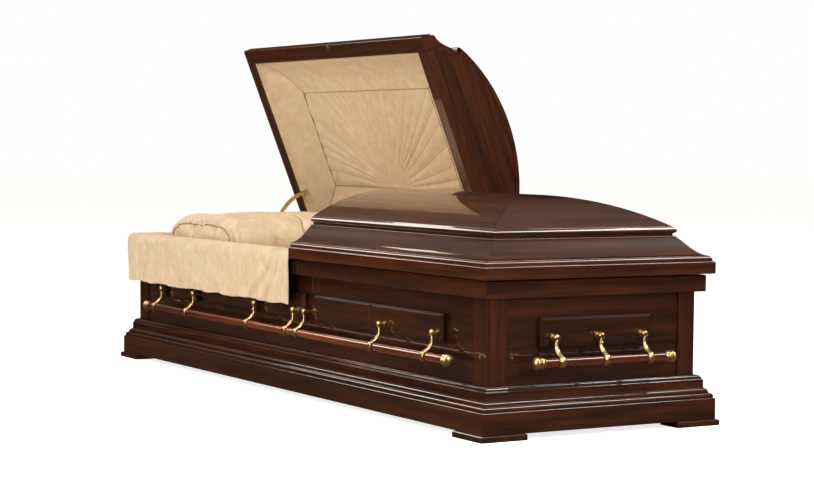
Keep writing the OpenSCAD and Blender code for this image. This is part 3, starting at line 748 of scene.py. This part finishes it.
def side_turn(side):
    """From the front, drawn with the posts' faces at y = 0, to a side of the case."""
    turns = {"front": (0, (0, -HALF_W)), "back": (180, (0, HALF_W)),
             "foot": (90, (HALF_L, 0)), "head": (-90, (-HALF_L, 0))}
    degrees, (x, y) = turns[side]
    return (Matrix.Translation((x * MM, y * MM, 0))
            @ Matrix.Rotation(math.radians(degrees), 4, "Z"))


arm_shape = make_arm()
knob_shape = make_knob()
for side_name, lug_places, knob_places, past_lugs in (
        ("front", (-788, -555, -146, 90, 155, 560, 814), (-146,), (62, 96)),
        ("foot", (-128, 0, 128), (0,), (62, 62)),
        ("back", (-720, 0, 720), (), (62, 62)),
        ("head", (-128, 128), (), (62, 62))):
    make_handle(side_name, lug_places, knob_places, past_lugs)
for shape in (arm_shape, knob_shape):
    bpy.data.objects.remove(shape)

# ---------------------------------------------------------------- soft goods


def add_patch(bm, rows):
    """Skins rows of points into an open sheet with its map in metres."""
    uv = bm.loops.layers.uv.verify()
    made = [[bm.verts.new(p) for p in row] for row in rows]
    for here, there in zip(made, made[1:]):
        for j in range(len(here) - 1):
            face = bm.faces.new((here[j], here[j + 1], there[j + 1], there[j]))
            for loop in face.loops:
                loop[uv].uv = ((loop.vert.co.x + loop.vert.co.y) * MM, loop.vert.co.z * MM)


def piping(name, lines, radius, turn=SHUT):
    """Tubes of piping along lines of points in millimetres, as one piece. A line whose last
    point is its first is closed."""
    data = bpy.data.curves.new(name, "CURVE")
    data.dimensions = "3D"
    data.bevel_depth = radius * MM
    data.bevel_resolution = 2
    data.use_fill_caps = True
    for line in lines:
        closed = (Vector(line[0]) - Vector(line[-1])).length < 0.01
        points = line[:-1] if closed else line
        spline = data.splines.new("POLY")
        spline.points.add(len(points) - 1)
        spline.use_cyclic_u = closed
        for spot, point in zip(spline.points, points):
            spot.co = (*(turn @ Vector(point) * MM), 1)
    curve = new_object(name, data)
    graph = bpy.context.evaluated_depsgraph_get()
    mesh = bpy.data.meshes.new_from_object(curve.evaluated_get(graph))
    bpy.data.objects.remove(curve)
    return dress(new_object(name, mesh), "piping")


def inflate(piece, key, voxel, pressure, cap, frames=20):
    """Fills a closed shape like a cushion: an even mesh, a cloth simulation under pressure, a
    limit to how far a point moves, and one subdivision. voxel and cap are in metres."""
    remesh = piece.modifiers.new("even", "REMESH")
    remesh.mode = "VOXEL"
    remesh.voxel_size = voxel
    remesh.use_smooth_shade = True
    evaluated(piece)
    before = [v.co.copy() for v in piece.data.vertices]
    cloth = piece.modifiers.new("filling", "CLOTH")
    cloth.settings.quality = 4
    cloth.settings.mass = 0.2
    cloth.settings.tension_stiffness = cloth.settings.compression_stiffness = 12
    cloth.settings.bending_stiffness = 0.6
    cloth.settings.use_pressure = True
    cloth.settings.uniform_pressure_force = pressure
    cloth.settings.effector_weights.gravity = 0
    cloth.collision_settings.use_collision = False
    cloth.point_cache.frame_end = frames
    for frame_number in range(1, frames + 1):
        bpy.context.scene.frame_set(frame_number)
    evaluated(piece)
    for vertex, old in zip(piece.data.vertices, before):
        move = vertex.co - old
        if move.length > cap:
            vertex.co = old + move * (cap / move.length)
    bpy.context.scene.frame_set(1)
    return dress(evaluated(subdivided(piece)), key)


def sculpt(piece, shape):
    """Moves each point along its normal by what shape gives for its place, in millimetres."""
    moves = [v.normal * shape(v.co / MM) * MM for v in piece.data.vertices]
    for vertex, move in zip(piece.data.vertices, moves):
        vertex.co += move
    piece.data.update()


def crease(at, size, depth, seed):
    """A net of soft creases: depth where two folds meet, nothing between them."""
    spot = Vector(at) / size + Vector((seed, seed * 0.7, seed * 1.3))
    ridge = 1 - min(1, abs(noise.noise(spot)) * 5)
    return -depth * ridge * ridge


SEAM_Y = 30                                  # curved seam of the pillow, from its middle
SEAM_CURVE = 0.0004
DIP_Y, DIP_W = -140, 45                      # where the pillow is pressed down a little
PILLOW_SWELL = Vector((12, 14, 9))           # what the cloth swells by, left out beforehand


def make_pillow():
    """Bolster across the head end: an oval section between two flat end panels, with piping
    round each panel, and a curved seam towards the back end."""
    low, high = box_mm("pillow")
    middle = (low + high) / 2
    half = (high - low) / 2
    sides = 64

    def section(y, inset):
        shrink = 1 - inset
        dip = 1 - 0.09 * math.exp(-((y - DIP_Y) / DIP_W) ** 2)
        ring = []
        for k in range(sides):
            a = math.tau * k / sides
            c, s = math.cos(a), math.sin(a)
            x = math.copysign(abs(c) ** 0.62, c) * (half.x - PILLOW_SWELL.x) * shrink
            z = math.copysign(abs(s) ** 0.8, s) * (half.z - PILLOW_SWELL.z) * shrink
            if z > 0:
                z *= dip
            ring.append((middle.x + x, middle.y + y, middle.z + z))
        return ring

    end = half.y - PILLOW_SWELL.y
    spots = [(-end, 0.1), (-end + 1, 0.05)]
    spots += [(-end + 4 + (2 * end - 8) * i / 24, 0.02) for i in range(25)]
    spots += [(end - 1, 0.05), (end, 0.1)]
    bm = bmesh.new()
    add_rings(bm, [section(y, inset) for y, inset in spots])
    pillow = inflate(to_object(bm, "head_pillow", "pillow"), "pillow", 0.006, 4.0, 0.011)

    def press(at):
        y = at.y - middle.y
        seam = -5 * math.exp(-((y - SEAM_Y + SEAM_CURVE * (at.x - middle.x) ** 2) / 6) ** 2)
        near_end = max(math.exp(-((abs(y) - end) / 30) ** 2), math.exp(-((y - SEAM_Y) / 40) ** 2))
        flutes = 1.0 * near_end * math.sin(at.x * 0.12 + 2 * math.sin(at.x * 0.03))
        if abs(y) > end - 4:
            return -2
        return seam + flutes + crease(at, 150, 3.5, 5.1) + crease(at, 60, 1.2, 9.4)

    sculpt(pillow, press)
    floor_z = low.z * MM
    for vertex in pillow.data.vertices:
        vertex.co.z = max(vertex.co.z, floor_z)
    tree = BVHTree.FromPolygons([v.co.copy() for v in pillow.data.vertices],
                                [tuple(p.vertices) for p in pillow.data.polygons])
    # each line of piping is laid where rays from inside the pillow leave it
    lines = []
    for rim, start in ((-end - 4, -end + 30), (end + 4, end - 30), (None, SEAM_Y)):
        line = []
        for target in section(rim if rim is not None else start, 0.0):
            aim = Vector(target)
            origin = Vector((middle.x, middle.y + start, middle.z))
            if rim is None:
                aim.y = origin.y = middle.y + start - SEAM_CURVE * (aim.x - middle.x) ** 2
            way = (aim - origin).normalized()
            hit = tree.ray_cast(origin * MM, way)[0]
            line.append(hit / MM + way * (1.4 if rim is not None else 0.4))
        lines.append(line + line[:1])
    cord = piping("pillow_piping", lines, 2.0)
    for piece, nodes in ((pillow, ("pillow",)), (cord, ())):
        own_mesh(piece)
        place(piece, "case", "pillow_cloth", *nodes)


MATTRESS_SWELL = Vector((24, 24, 16))        # as for the pillow, of its whole size


def make_mattress():
    """Flat pad on the bed frame, with rounded edges, filled and softly creased."""
    low, high = box_mm("mattress")
    bm = bmesh.new()
    bmesh.ops.create_cube(bm, size=1)
    size = high - low - MATTRESS_SWELL
    bmesh.ops.transform(bm, matrix=Matrix.Translation((low + high) / 2)
                        @ Matrix.Diagonal((*size, 1)), verts=bm.verts)
    bmesh.ops.bevel(bm, geom=bm.edges[:], offset=22, segments=4, profile=0.6, affect="EDGES")
    pad = inflate(to_object(bm, "bed_mattress", "bed"), "bed", 0.012, 3.0, 0.008, 14)
    sculpt(pad, lambda at: crease(at, 220, 2.5, 2.2))
    for vertex in pad.data.vertices:
        for axis in range(3):
            vertex.co[axis] = min(max(vertex.co[axis], low[axis] * MM), high[axis] * MM)
    place(pad, "case", "bed_cloth", "mattress")


OVERLAY_END_X = box_mm("overlay")[1].x
OVERLAY_END_Y = box_mm("overlay")[1].y
OVERLAY_HEM = box_mm("overlay")[0].z + 1.5   # the cloth is modelled by its middle
OVERLAY_TOP = box_mm("overlay")[1].z - 1.5
OVERLAY_T = 2.2
CORNER = 15                                  # out from the posts, centre of its rounded corner
CORNER_TURN = 26                             # length of cloth round that corner
ROLL_R = 22                                  # outside of the soft roll along the rim
SKIRT_OUT = 33.5                             # where the skirt hangs, and its limits
SKIRT_IN, SKIRT_PROUD = 23.5, 35.5


def overlay_folds():
    """Folds of the skirt as (distance along the top, lean, depth, width): a fan of three where
    the foot lid begins, then uneven upright ones to near its far end."""
    folds = [(20, 0.3, 5.5, 9), (52, 0.75, 7.0, 10), (80, 1.25, 6.0, 10)]
    along, last = 150, 1330
    while along < last:
        folds.append((along, random.uniform(-0.12, 0.12), random.uniform(4.0, 7.5),
                      random.uniform(8, 13)))
        along += random.uniform(48, 84)
    return folds


def make_overlay():
    """Velvet skirt over the rim of the head half: a soft roll along the rim, folds that deepen
    towards a slightly wavy hem, and a fan of slanting folds at the lid."""
    folds = overlay_folds()
    front = OVERLAY_END_X + HALF_L + CORNER    # length along the front, up to the corner
    side = HALF_W + OVERLAY_END_Y + CORNER
    past = front + CORNER_TURN
    stations = ([front * i / 230 for i in range(231)]
                + [front + CORNER_TURN * (i + 1) / 12 for i in range(12)]
                + [past + side * (i + 1) / 50 for i in range(50)])

    def spot(s, out, z):
        capped = min(out, CORNER)
        if s <= front:
            return (max(OVERLAY_END_X - s, -HALF_L - capped), -HALF_W - out, z)
        if s <= past:
            a = math.radians(90) * (s - front) / CORNER_TURN
            reach = max(0, out - CORNER)
            return (-HALF_L - capped - reach * math.sin(a), -HALF_W - capped
                    - reach * math.cos(a), z)
        y = -HALF_W - CORNER + (s - past)
        return (-HALF_L - out, max(y, -HALF_W - capped), z)

    profile = [(-INNER - 5, RIM_Z + 2), (-INNER - 6, RIM_Z + 9)]
    profile += arc(-INNER + 4, OVERLAY_TOP - 11, 10, 180, 100, 4)
    profile += [(-12, OVERLAY_TOP + 0.2), (0, OVERLAY_TOP + 0.3)]
    skirt_top = OVERLAY_TOP - ROLL_R
    profile += arc(11, skirt_top, ROLL_R, 90, 0, 7)
    rows_down = 26
    rows = []
    for s in stations:
        row = []
        for out, z in profile:
            puff = 1.2 * noise.noise(Vector((s / 45, out / 30, z / 30)))
            row.append(spot(s, out + puff, z + puff * 0.5))
        for i in range(1, rows_down + 1):
            t = i / rows_down
            z = skirt_top + (OVERLAY_HEM + 2 - skirt_top) * t
            drop = skirt_top - z
            out = SKIRT_OUT - 1.5 * smooth_step(0, 0.45, t)
            depth = smooth_step(0.02, 0.32, t)
            for along, lean, height, width in folds:
                reach = (s - along - lean * drop) / (width * (1 + 0.5 * t))
                if abs(reach) < 3:
                    out -= depth * height * (math.exp(-reach ** 2)
                                             - 0.45 * math.exp(-(reach - 1.6) ** 2))
            out += depth * 1.4 * noise.noise(Vector((s / 70, 3.3, z / 160)))
            hem = 2.2 * t * math.sin(s / 31 + math.sin(s / 77))
            row.append(spot(s, min(SKIRT_PROUD, max(SKIRT_IN, out)), z + hem))
        rows.append(row)
    bm = bmesh.new()
    add_patch(bm, rows)
    skirt = subdivided(to_object(bm, "rim_overlay", "overlay", 120))
    thickened(skirt, OVERLAY_T, 0)
    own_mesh(skirt)
    place(skirt, "case", "overlay_cloth", "overlay")


def ring_corner(ring, index, out):
    """A corner of a rectangle (x0, y0, x1, y1), moved outwards; 0 is at x0, y0 and the rest
    follow counter-clockwise."""
    x0, y0, x1, y1 = ring
    return Vector((x1 + out if index % 4 in (1, 2) else x0 - out,
                   y1 + out if index % 4 in (2, 3) else y0 - out))


LINING_PITCH = 4.6                           # a gather is this times tau, 29 mm, from the next
LINING_GATHER = 2.6                          # how deep it is


def make_case_lining():
    """Velvet gathered on a padded strip round the inside of the case, with a roll along its
    top. It stops short of the stay at the head end."""
    ring = (-HALF_L, -HALF_W, HALF_L, HALF_W)
    low, high = box_mm("case_lining")
    outer, inner = -INNER - 0.5, -INNER - 14.5
    face = [(inner, low.z + (high.z - 16 - low.z) * i / 12) for i in range(13)]
    outline = [(outer, low.z)] + face + arc(outer - 7, high.z - 7, 7, 180, 0, 8)
    stay_y, stay_x = 142, -HALF_L + INNER + 22
    rings = []
    for side in (3, 0, 1, 2):
        long = side in (0, 2)
        length, steps = (2 * HALF_L, 300) if long else (2 * HALF_W, 90)
        inwards = 1 if side in (0, 3) else -1
        for i in range(steps + 1):
            u = i / steps
            here = []
            for out, z in outline:
                at = ring_corner(ring, side, out).lerp(ring_corner(ring, side + 1, out), u)
                drift = noise.noise(Vector((u * length / 40, z / 60, side)))
                fold = LINING_GATHER * math.sin(u * length / LINING_PITCH + 1.8 * drift)
                fold *= 0.35 + 0.65 * smooth_step(high.z - 4, high.z - 24, z)
                if out < outer - 4:
                    at[1 if long else 0] += fold * inwards
                if side == 3:
                    at.y = min(at.y, stay_y)
                if side == 2:
                    at.x = max(at.x, stay_x)
                here.append((at.x, at.y, z))
            rings.append(here)
    while rings[1][0][1] == stay_y:
        rings.pop(0)
    while rings[-2][0][0] == stay_x:
        rings.pop()
    bm = bmesh.new()
    add_rings(bm, rings)
    lining = to_object(bm, "gathered_case_lining", "lining", 70)
    place(lining, "case", "lining_cloth", "case_lining")


COVE_ACROSS, COVE_UP = 130, 70               # the cove's reach in plan and up into the lid
COVE_PUFF, COVE_RUMPLE = 5.5, 1.3            # how far its padding swells, and unevenly
COVE_T = 8
LINING_GAP = 0.5                             # from a lid's wood to its lining
LINING_LIFT = 5                              # foot of the cove, above the lid's underside


def cove_point(ring, side, u, a, puff):
    """A point on a lid's padded cove: u along a side, a up the cove in radians."""
    out = -EDGE_IN - LINING_GAP - COVE_ACROSS * (1 - math.cos(a))
    z = LID_Z + LINING_LIFT + COVE_UP * math.sin(a)
    way = Vector((math.cos(a) / COVE_ACROSS, math.sin(a) / COVE_UP)).normalized() * puff
    at = ring_corner(ring, side, out - way.x).lerp(ring_corner(ring, side + 1, out - way.x), u)
    return at.x, at.y, z - way.y


def make_cove(side_name, ring, turn, nodes):
    """Four padded coves, mitred and seamed at the corners, each swelling between its seams."""
    bm = bmesh.new()
    for side in range(4):
        length = (ring_corner(ring, side + 1, 0) - ring_corner(ring, side, 0)).length
        steps = int(length / 9)
        rows = []
        for i in range(steps + 1):
            u = i / steps
            row = []
            for j in range(19):
                a = math.radians(90) * j / 18
                swell = min(1, math.sin(math.pi * u) * length / 180) ** 0.5
                rumple = noise.noise(Vector((u * length / 60, a * 2.2, side * 7.7)))
                puff = COVE_PUFF * swell * math.sin(a * 2) ** 0.5 if 0 < j < 18 else 0
                puff += COVE_RUMPLE * swell * rumple * math.sin(a * 2)
                row.append(cove_point(ring, side, u, a, puff))
            rows.append(row)
        add_patch(bm, rows)
    body = side_name + "_lid"
    cove = thickened(to_object(bm, side_name + "_lid_padded_cove", "lining", 60, turn), COVE_T,
                     0)
    place(cove, body, "lining_cloth", *nodes)
    # piping up each mitre, and round the upper and lower edges
    lines = [[cove_point(ring, side, 0, math.radians(6 + 84 * i / 16), 3.5) for i in range(17)]
             for side in range(4)]
    for a, puff in ((90, 4.5), (2, 3)):
        line = [cove_point(ring, side, 0, math.radians(a), puff) for side in range(4)]
        lines.append(line + line[:1])
    place(piping(side_name + "_lid_piping", lines, 1.8, turn), body, "lining_cloth")


def sunburst_tree():
    """A rectangle of cloth in narrow pleats that fan out from a hub in the middle of one long
    side: each is a narrow crease, which deepens beyond the hub."""
    tree = bpy.data.node_groups.new("sunburst_pleats", "GeometryNodeTree")
    face = tree.interface
    names = {}
    face.new_socket("Geometry", in_out="INPUT", socket_type="NodeSocketGeometry")
    names["Pleats"] = face.new_socket("Pleats", in_out="INPUT", socket_type="NodeSocketInt")
    for name in ("Width", "Height", "Hub", "Depth"):
        names[name] = face.new_socket(name, in_out="INPUT", socket_type="NodeSocketFloat")
    face.new_socket("Geometry", in_out="OUTPUT", socket_type="NodeSocketGeometry")
    given = add(tree, "NodeGroupInput").outputs

    where = add(tree, "ShaderNodeSeparateXYZ", {
        "Vector": add(tree, "GeometryNodeInputPosition").outputs["Position"]}).outputs
    known = {"pleats": given["Pleats"], "width": given["Width"], "height": given["Height"],
             "hub": given["Hub"], "full depth": given["Depth"],
             "across": where["X"], "up": where["Y"]}
    steps = (
        ("spokes", "MULTIPLY_ADD", "pleats", 22.0, 1.0),
        ("part turned", "ADD", "across", 0.5),
        ("angle", "MULTIPLY", "part turned", math.pi),
        ("outward", "ADD", "up", 0.5),
        ("cosine", "COSINE", "angle"),
        ("sine", "SINE", "angle"),
        # how far it is from the hub to the edge of the rectangle, at this angle
        ("half width", "MULTIPLY", "width", 0.5),
        ("size of cosine", "ABSOLUTE", "cosine"),
        ("safe cosine", "MAXIMUM", "size of cosine", 1e-4),
        ("safe sine", "MAXIMUM", "sine", 1e-4),
        ("to side", "DIVIDE", "half width", "safe cosine"),
        ("to edge", "DIVIDE", "height", "safe sine"),
        ("reach", "MINIMUM", "to side", "to edge"),
        ("share of reach", "MAXIMUM", "outward", 0.01),
        ("radius", "MULTIPLY", "reach", "share of reach"),
        # creases drift and bend a little, as hand-laid ones do
        ("nine turns", "MULTIPLY", "angle", 9.0),
        ("drift wave", "SINE", "nine turns"),
        ("drift", "MULTIPLY", "drift wave", 0.035),
        ("bend turns", "MULTIPLY", "outward", 4.0),
        ("bend wave", "SINE", "bend turns"),
        ("bend", "MULTIPLY", "bend wave", 0.012),
        ("drift and bend", "ADD", "drift", "bend"),
        ("warped", "ADD", "angle", "drift and bend"),
        ("pleats a radian", "DIVIDE", "pleats", math.pi),
        ("pleats passed", "MULTIPLY", "warped", "pleats a radian"),
        ("in one pleat", "PINGPONG", "pleats passed", 0.5),
        ("fold", "MULTIPLY", "in one pleat", 2.0),
        ("uneven turns", "MULTIPLY", "angle", 23.0),
        ("uneven", "SINE", "uneven turns"),
        ("sharpness", "MULTIPLY_ADD", "uneven", 0.12, 0.3),
        ("crease", "POWER", "fold", "sharpness"),
        # a crease starts at the rim of the hub and reaches its full depth beyond it
        ("beyond hub", "SUBTRACT", "radius", "hub"),
        ("past hub", "MAXIMUM", "beyond hub", 0.0),
        ("growing depth", "MULTIPLY", "past hub", 0.12),
        ("depth", "MINIMUM", "full depth", "growing depth"),
        ("x", "MULTIPLY", "radius", "cosine"),
        ("down", "MULTIPLY", "radius", "sine"),
        ("y", "MULTIPLY", "down", -1.0),
        ("sink", "MULTIPLY", "crease", "depth"),
        ("z", "MULTIPLY", "sink", -1.0),
    )
    for name, operation, *values in steps:
        inputs = {i: known.get(value, value) for i, value in enumerate(values)}
        known[name] = add(tree, "ShaderNodeMath", inputs, operation=operation).outputs[0]
    cloth = add(tree, "GeometryNodeMeshGrid", {
        "Size X": 1.0, "Size Y": 1.0, "Vertices X": known["spokes"], "Vertices Y": 60})
    place_now = add(tree, "ShaderNodeCombineXYZ", {
        "X": known["x"], "Y": known["y"], "Z": known["z"]})
    moved = add(tree, "GeometryNodeSetPosition", {
        "Geometry": cloth.outputs["Mesh"], "Position": place_now.outputs["Vector"]})
    smooth = add(tree, "GeometryNodeSetShadeSmooth", {
        "Geometry": moved.outputs["Geometry"], "Shade Smooth": True})
    real = add(tree, "GeometryNodeRealizeInstances", {"Geometry": smooth.outputs["Geometry"]})
    finish = add(tree, "GeometryNodeSetMaterial", {
        "Geometry": real.outputs["Geometry"], "Material": materials["lining"]})
    add(tree, "NodeGroupOutput", {"Geometry": finish.outputs["Geometry"]})
    return tree, {name: socket.identifier for name, socket in names.items()}


pleat_tree, PLEAT_INPUTS = sunburst_tree()


PANEL_LAP, PANEL_LIFT, PANEL_T = 3, 3.5, 3   # the middle panel laps behind the coves' edges
PLEAT_DEPTH = 7.5


def make_sunburst(side_name, ring, turn, pleats, nodes):
    """The flat middle of a lid's lining, smooth at the hub and pleated beyond it."""
    inset = EDGE_IN + LINING_GAP + COVE_ACROSS - PANEL_LAP
    x0, y0, x1, y1 = ring
    width, height = x1 - x0 - 2 * inset, y1 - y0 - 2 * inset
    hub = height * 0.24
    name = side_name + "_lid_sunburst"
    piece = new_object(name, bpy.data.meshes.new(name))
    nodes_on = piece.modifiers.new("pleats", "NODES")
    nodes_on.node_group = pleat_tree
    for key, value in (("Pleats", pleats), ("Width", width * MM), ("Height", height * MM),
                       ("Hub", hub * MM), ("Depth", PLEAT_DEPTH * MM)):
        nodes_on[PLEAT_INPUTS[key]] = value
    evaluated(piece)
    middle = Vector(((x0 + x1) / 2, y1 - inset, LID_Z + LINING_LIFT + COVE_UP + PANEL_LIFT))
    piece.data.transform(METRES @ turn @ Matrix.Translation(middle) @ METRES.inverted())
    thickened(piece, PANEL_T, 0)
    body = side_name + "_lid"
    place(piece, body, "lining_cloth", *nodes)


def lining_ring(cut, inward):
    """The rectangle that a lid's lining fills, before its edges step in."""
    near = cut + inward * (EDGE_W - EDGE_IN)
    return (near, -HALF_W, HALF_L, HALF_W) if inward > 0 else (-HALF_L, -HALF_W, near, HALF_W)


foot_ring, head_ring = lining_ring(FOOT_CUT, 1), lining_ring(HEAD_CUT, -1)
make_cove("foot", foot_ring, SHUT, ("foot_lid_lining",))
make_cove("head", head_ring, OPENED, ("head_lid_border",))
make_sunburst("foot", foot_ring, SHUT, 17, ())
make_sunburst("head", head_ring, OPENED, 27, ("head_lid_panel",))
make_case_lining()
make_mattress()
make_overlay()
make_pillow()

# ---------------------------------------------------------------- small brass


STUD_X, STUD_OUT = -480, 26                   # along the lid, and out from the posts' faces


def make_catch_stud():
    """Domed brass stud of the catch, under the front edge of the head lid."""
    bm = bmesh.new()
    profile = [(0.0, 6.5), (0.8, 6.5), (1.3, 5.8), (1.6, 4.2), (1.75, 2.2), (1.8, 0.05)]
    rings = [[(STUD_X + radius * math.cos(math.tau * k / 24),
               -HALF_W - STUD_OUT + radius * math.sin(math.tau * k / 24), LID_Z - depth)
              for k in range(24)] for depth, radius in profile]
    add_rings(bm, rings)
    place(to_object(bm, "head_lid_catch_stud", "brass", 50, OPENED), "head_lid", "brass")


make_catch_stud()

# ---------------------------------------------------------------- camera, floor and light


CAMERA_SPOT = (4.9164, -2.8143, 0.6625)
CAMERA_TURN = (59.508, 2.873, 0.527)         # left of +Y, down and clockwise, in degrees


def make_camera():
    """Long lens from beyond the foot end, a little above the lids, looking at the front."""
    azimuth, pitch, roll = (math.radians(a) for a in CAMERA_TURN)
    ahead = Vector((-math.sin(azimuth) * math.cos(pitch), math.cos(azimuth) * math.cos(pitch),
                    -math.sin(pitch)))
    right = ahead.cross(Vector((0, 0, 1))).normalized()
    up = right.cross(ahead)
    right, up = (math.cos(roll) * right + math.sin(roll) * up,
                 math.cos(roll) * up - math.sin(roll) * right)
    camera = new_object("camera", bpy.data.cameras.new("camera"))
    turn = Matrix((right, up, -ahead)).transposed().to_4x4()
    camera.matrix_world = Matrix.Translation(CAMERA_SPOT) @ turn
    camera.data.sensor_width = 36
    camera.data.lens = 89.32
    camera.data.clip_end = 100
    bpy.context.scene.camera = camera


def area_light(name, position, aim, size, power, colour):
    """A soft rectangular lamp, turned to face what it is aimed at."""
    data = bpy.data.lights.new(name, "AREA")
    data.shape = "RECTANGLE"
    data.size, data.size_y = size
    data.energy = power
    data.color = colour
    light = new_object(name, data)
    light.location = position
    direction = Vector(aim) - Vector(position)
    light.rotation_euler = direction.to_track_quat("-Z", "Y").to_euler()


WHITE = (1, 1, 1, 1)
FLOOR_PALE, FLOOR_MIRRORED = linear("#FDFCFB"), linear("#5A4A3E")


def studio_world():
    """White behind the object; the room that the lacquer mirrors is dim, and paler overhead."""
    world = bpy.data.worlds.new("studio")
    bpy.context.scene.world = world
    world.use_nodes = True
    tree = world.node_tree
    tree.nodes.clear()
    way = add(tree, "ShaderNodeTexCoord").outputs["Generated"]
    height = add(tree, "ShaderNodeSeparateXYZ", {"Vector": way}).outputs["Z"]
    room = set_stops(add(tree, "ShaderNodeValToRGB", {"Fac": height}), [
        (0.0, "#2A2320"), (0.12, "#181412"), (0.45, "#4E463F"), (1.0, "#B8AFA6")])
    dim = add(tree, "ShaderNodeBackground", {"Color": room, "Strength": 0.9})
    white = add(tree, "ShaderNodeBackground", {"Color": WHITE, "Strength": 1.0})
    seen = add(tree, "ShaderNodeLightPath").outputs["Is Camera Ray"]
    mix = add(tree, "ShaderNodeMixShader", {
        0: seen, 1: dim.outputs["Background"], 2: white.outputs["Background"]})
    add(tree, "ShaderNodeOutputWorld", {"Surface": mix.outputs["Shader"]})


# Each lamp's name, place, what it points at, its size in metres, its watts and its colour.
LAMPS = (
    ("front_softbox", (1.6, -4.2, 3.0), (0.2, 0, 0.3), (3.4, 1.6), 95, (1, 0.97, 0.93)),
    ("foot_softbox", (5.2, 0.6, 2.4), (0.6, 0, 0.3), (1.6, 1.6), 95, (1, 0.95, 0.9)),
    ("top_strip", (0.6, -0.9, 3.4), (0.3, 0, 0.4), (3.6, 0.5), 60, (1, 0.98, 0.95)),
    # mirrored by the rounded edges of the front, the foot lid's ogee, and the foot end's edges
    ("head_softbox", (-3.5, -1.6, 2.4), (0.4, 0, 0.3), (1.1, 1.2), 30, (1, 0.93, 0.84)),
    ("ogee_lamp", (-3.2, 0.34, 2.66), (0.6, -0.3, 0.5), (0.4, 0.25), 1.3, (1, 0.88, 0.72)),
    ("foot_strip", (2.4, 2.1, 3.1), (1.0, 0, 0.2), (1.8, 0.5), 60, (1, 0.95, 0.9)),
    ("lining_fill", (1.2, -3.6, 0.9), (-0.5, 0.2, 0.75), (1.6, 1.0), 32, (1, 0.96, 0.9)),
)


def make_stage():
    """A pale floor, which merges with the white behind it, and soft lamps."""
    material, tree, shader = new_material("pale_floor", Roughness=0.9, Specular_IOR_Level=0.0,
                                          Base_Color=FLOOR_PALE, Emission_Color=WHITE)
    seen = add(tree, "ShaderNodeLightPath").outputs["Is Camera Ray"]
    glow = add(tree, "ShaderNodeMath", {0: seen, 1: 0.8}, operation="MULTIPLY").outputs[0]
    # the lacquer mirrors a dim room, so the floor is dark in reflections alone
    mirrored = add(tree, "ShaderNodeLightPath").outputs["Is Glossy Ray"]
    shades = add(tree, "ShaderNodeMix", {0: mirrored, 6: FLOOR_PALE, 7: FLOOR_MIRRORED},
                 data_type="RGBA")
    fill(tree, shader, {"Emission Strength": glow, "Base Color": shades.outputs[2]})
    bpy.ops.mesh.primitive_plane_add(size=60, location=(0, 0, (FLOOR_Z - 0.5) * MM))
    floor = bpy.context.object
    floor.name = "floor"
    floor.data.materials.append(material)
    studio_world()
    for lamp in LAMPS:
        area_light(*lamp)


make_camera()
make_stage()
bpy.context.scene.view_settings.view_transform = "Standard"
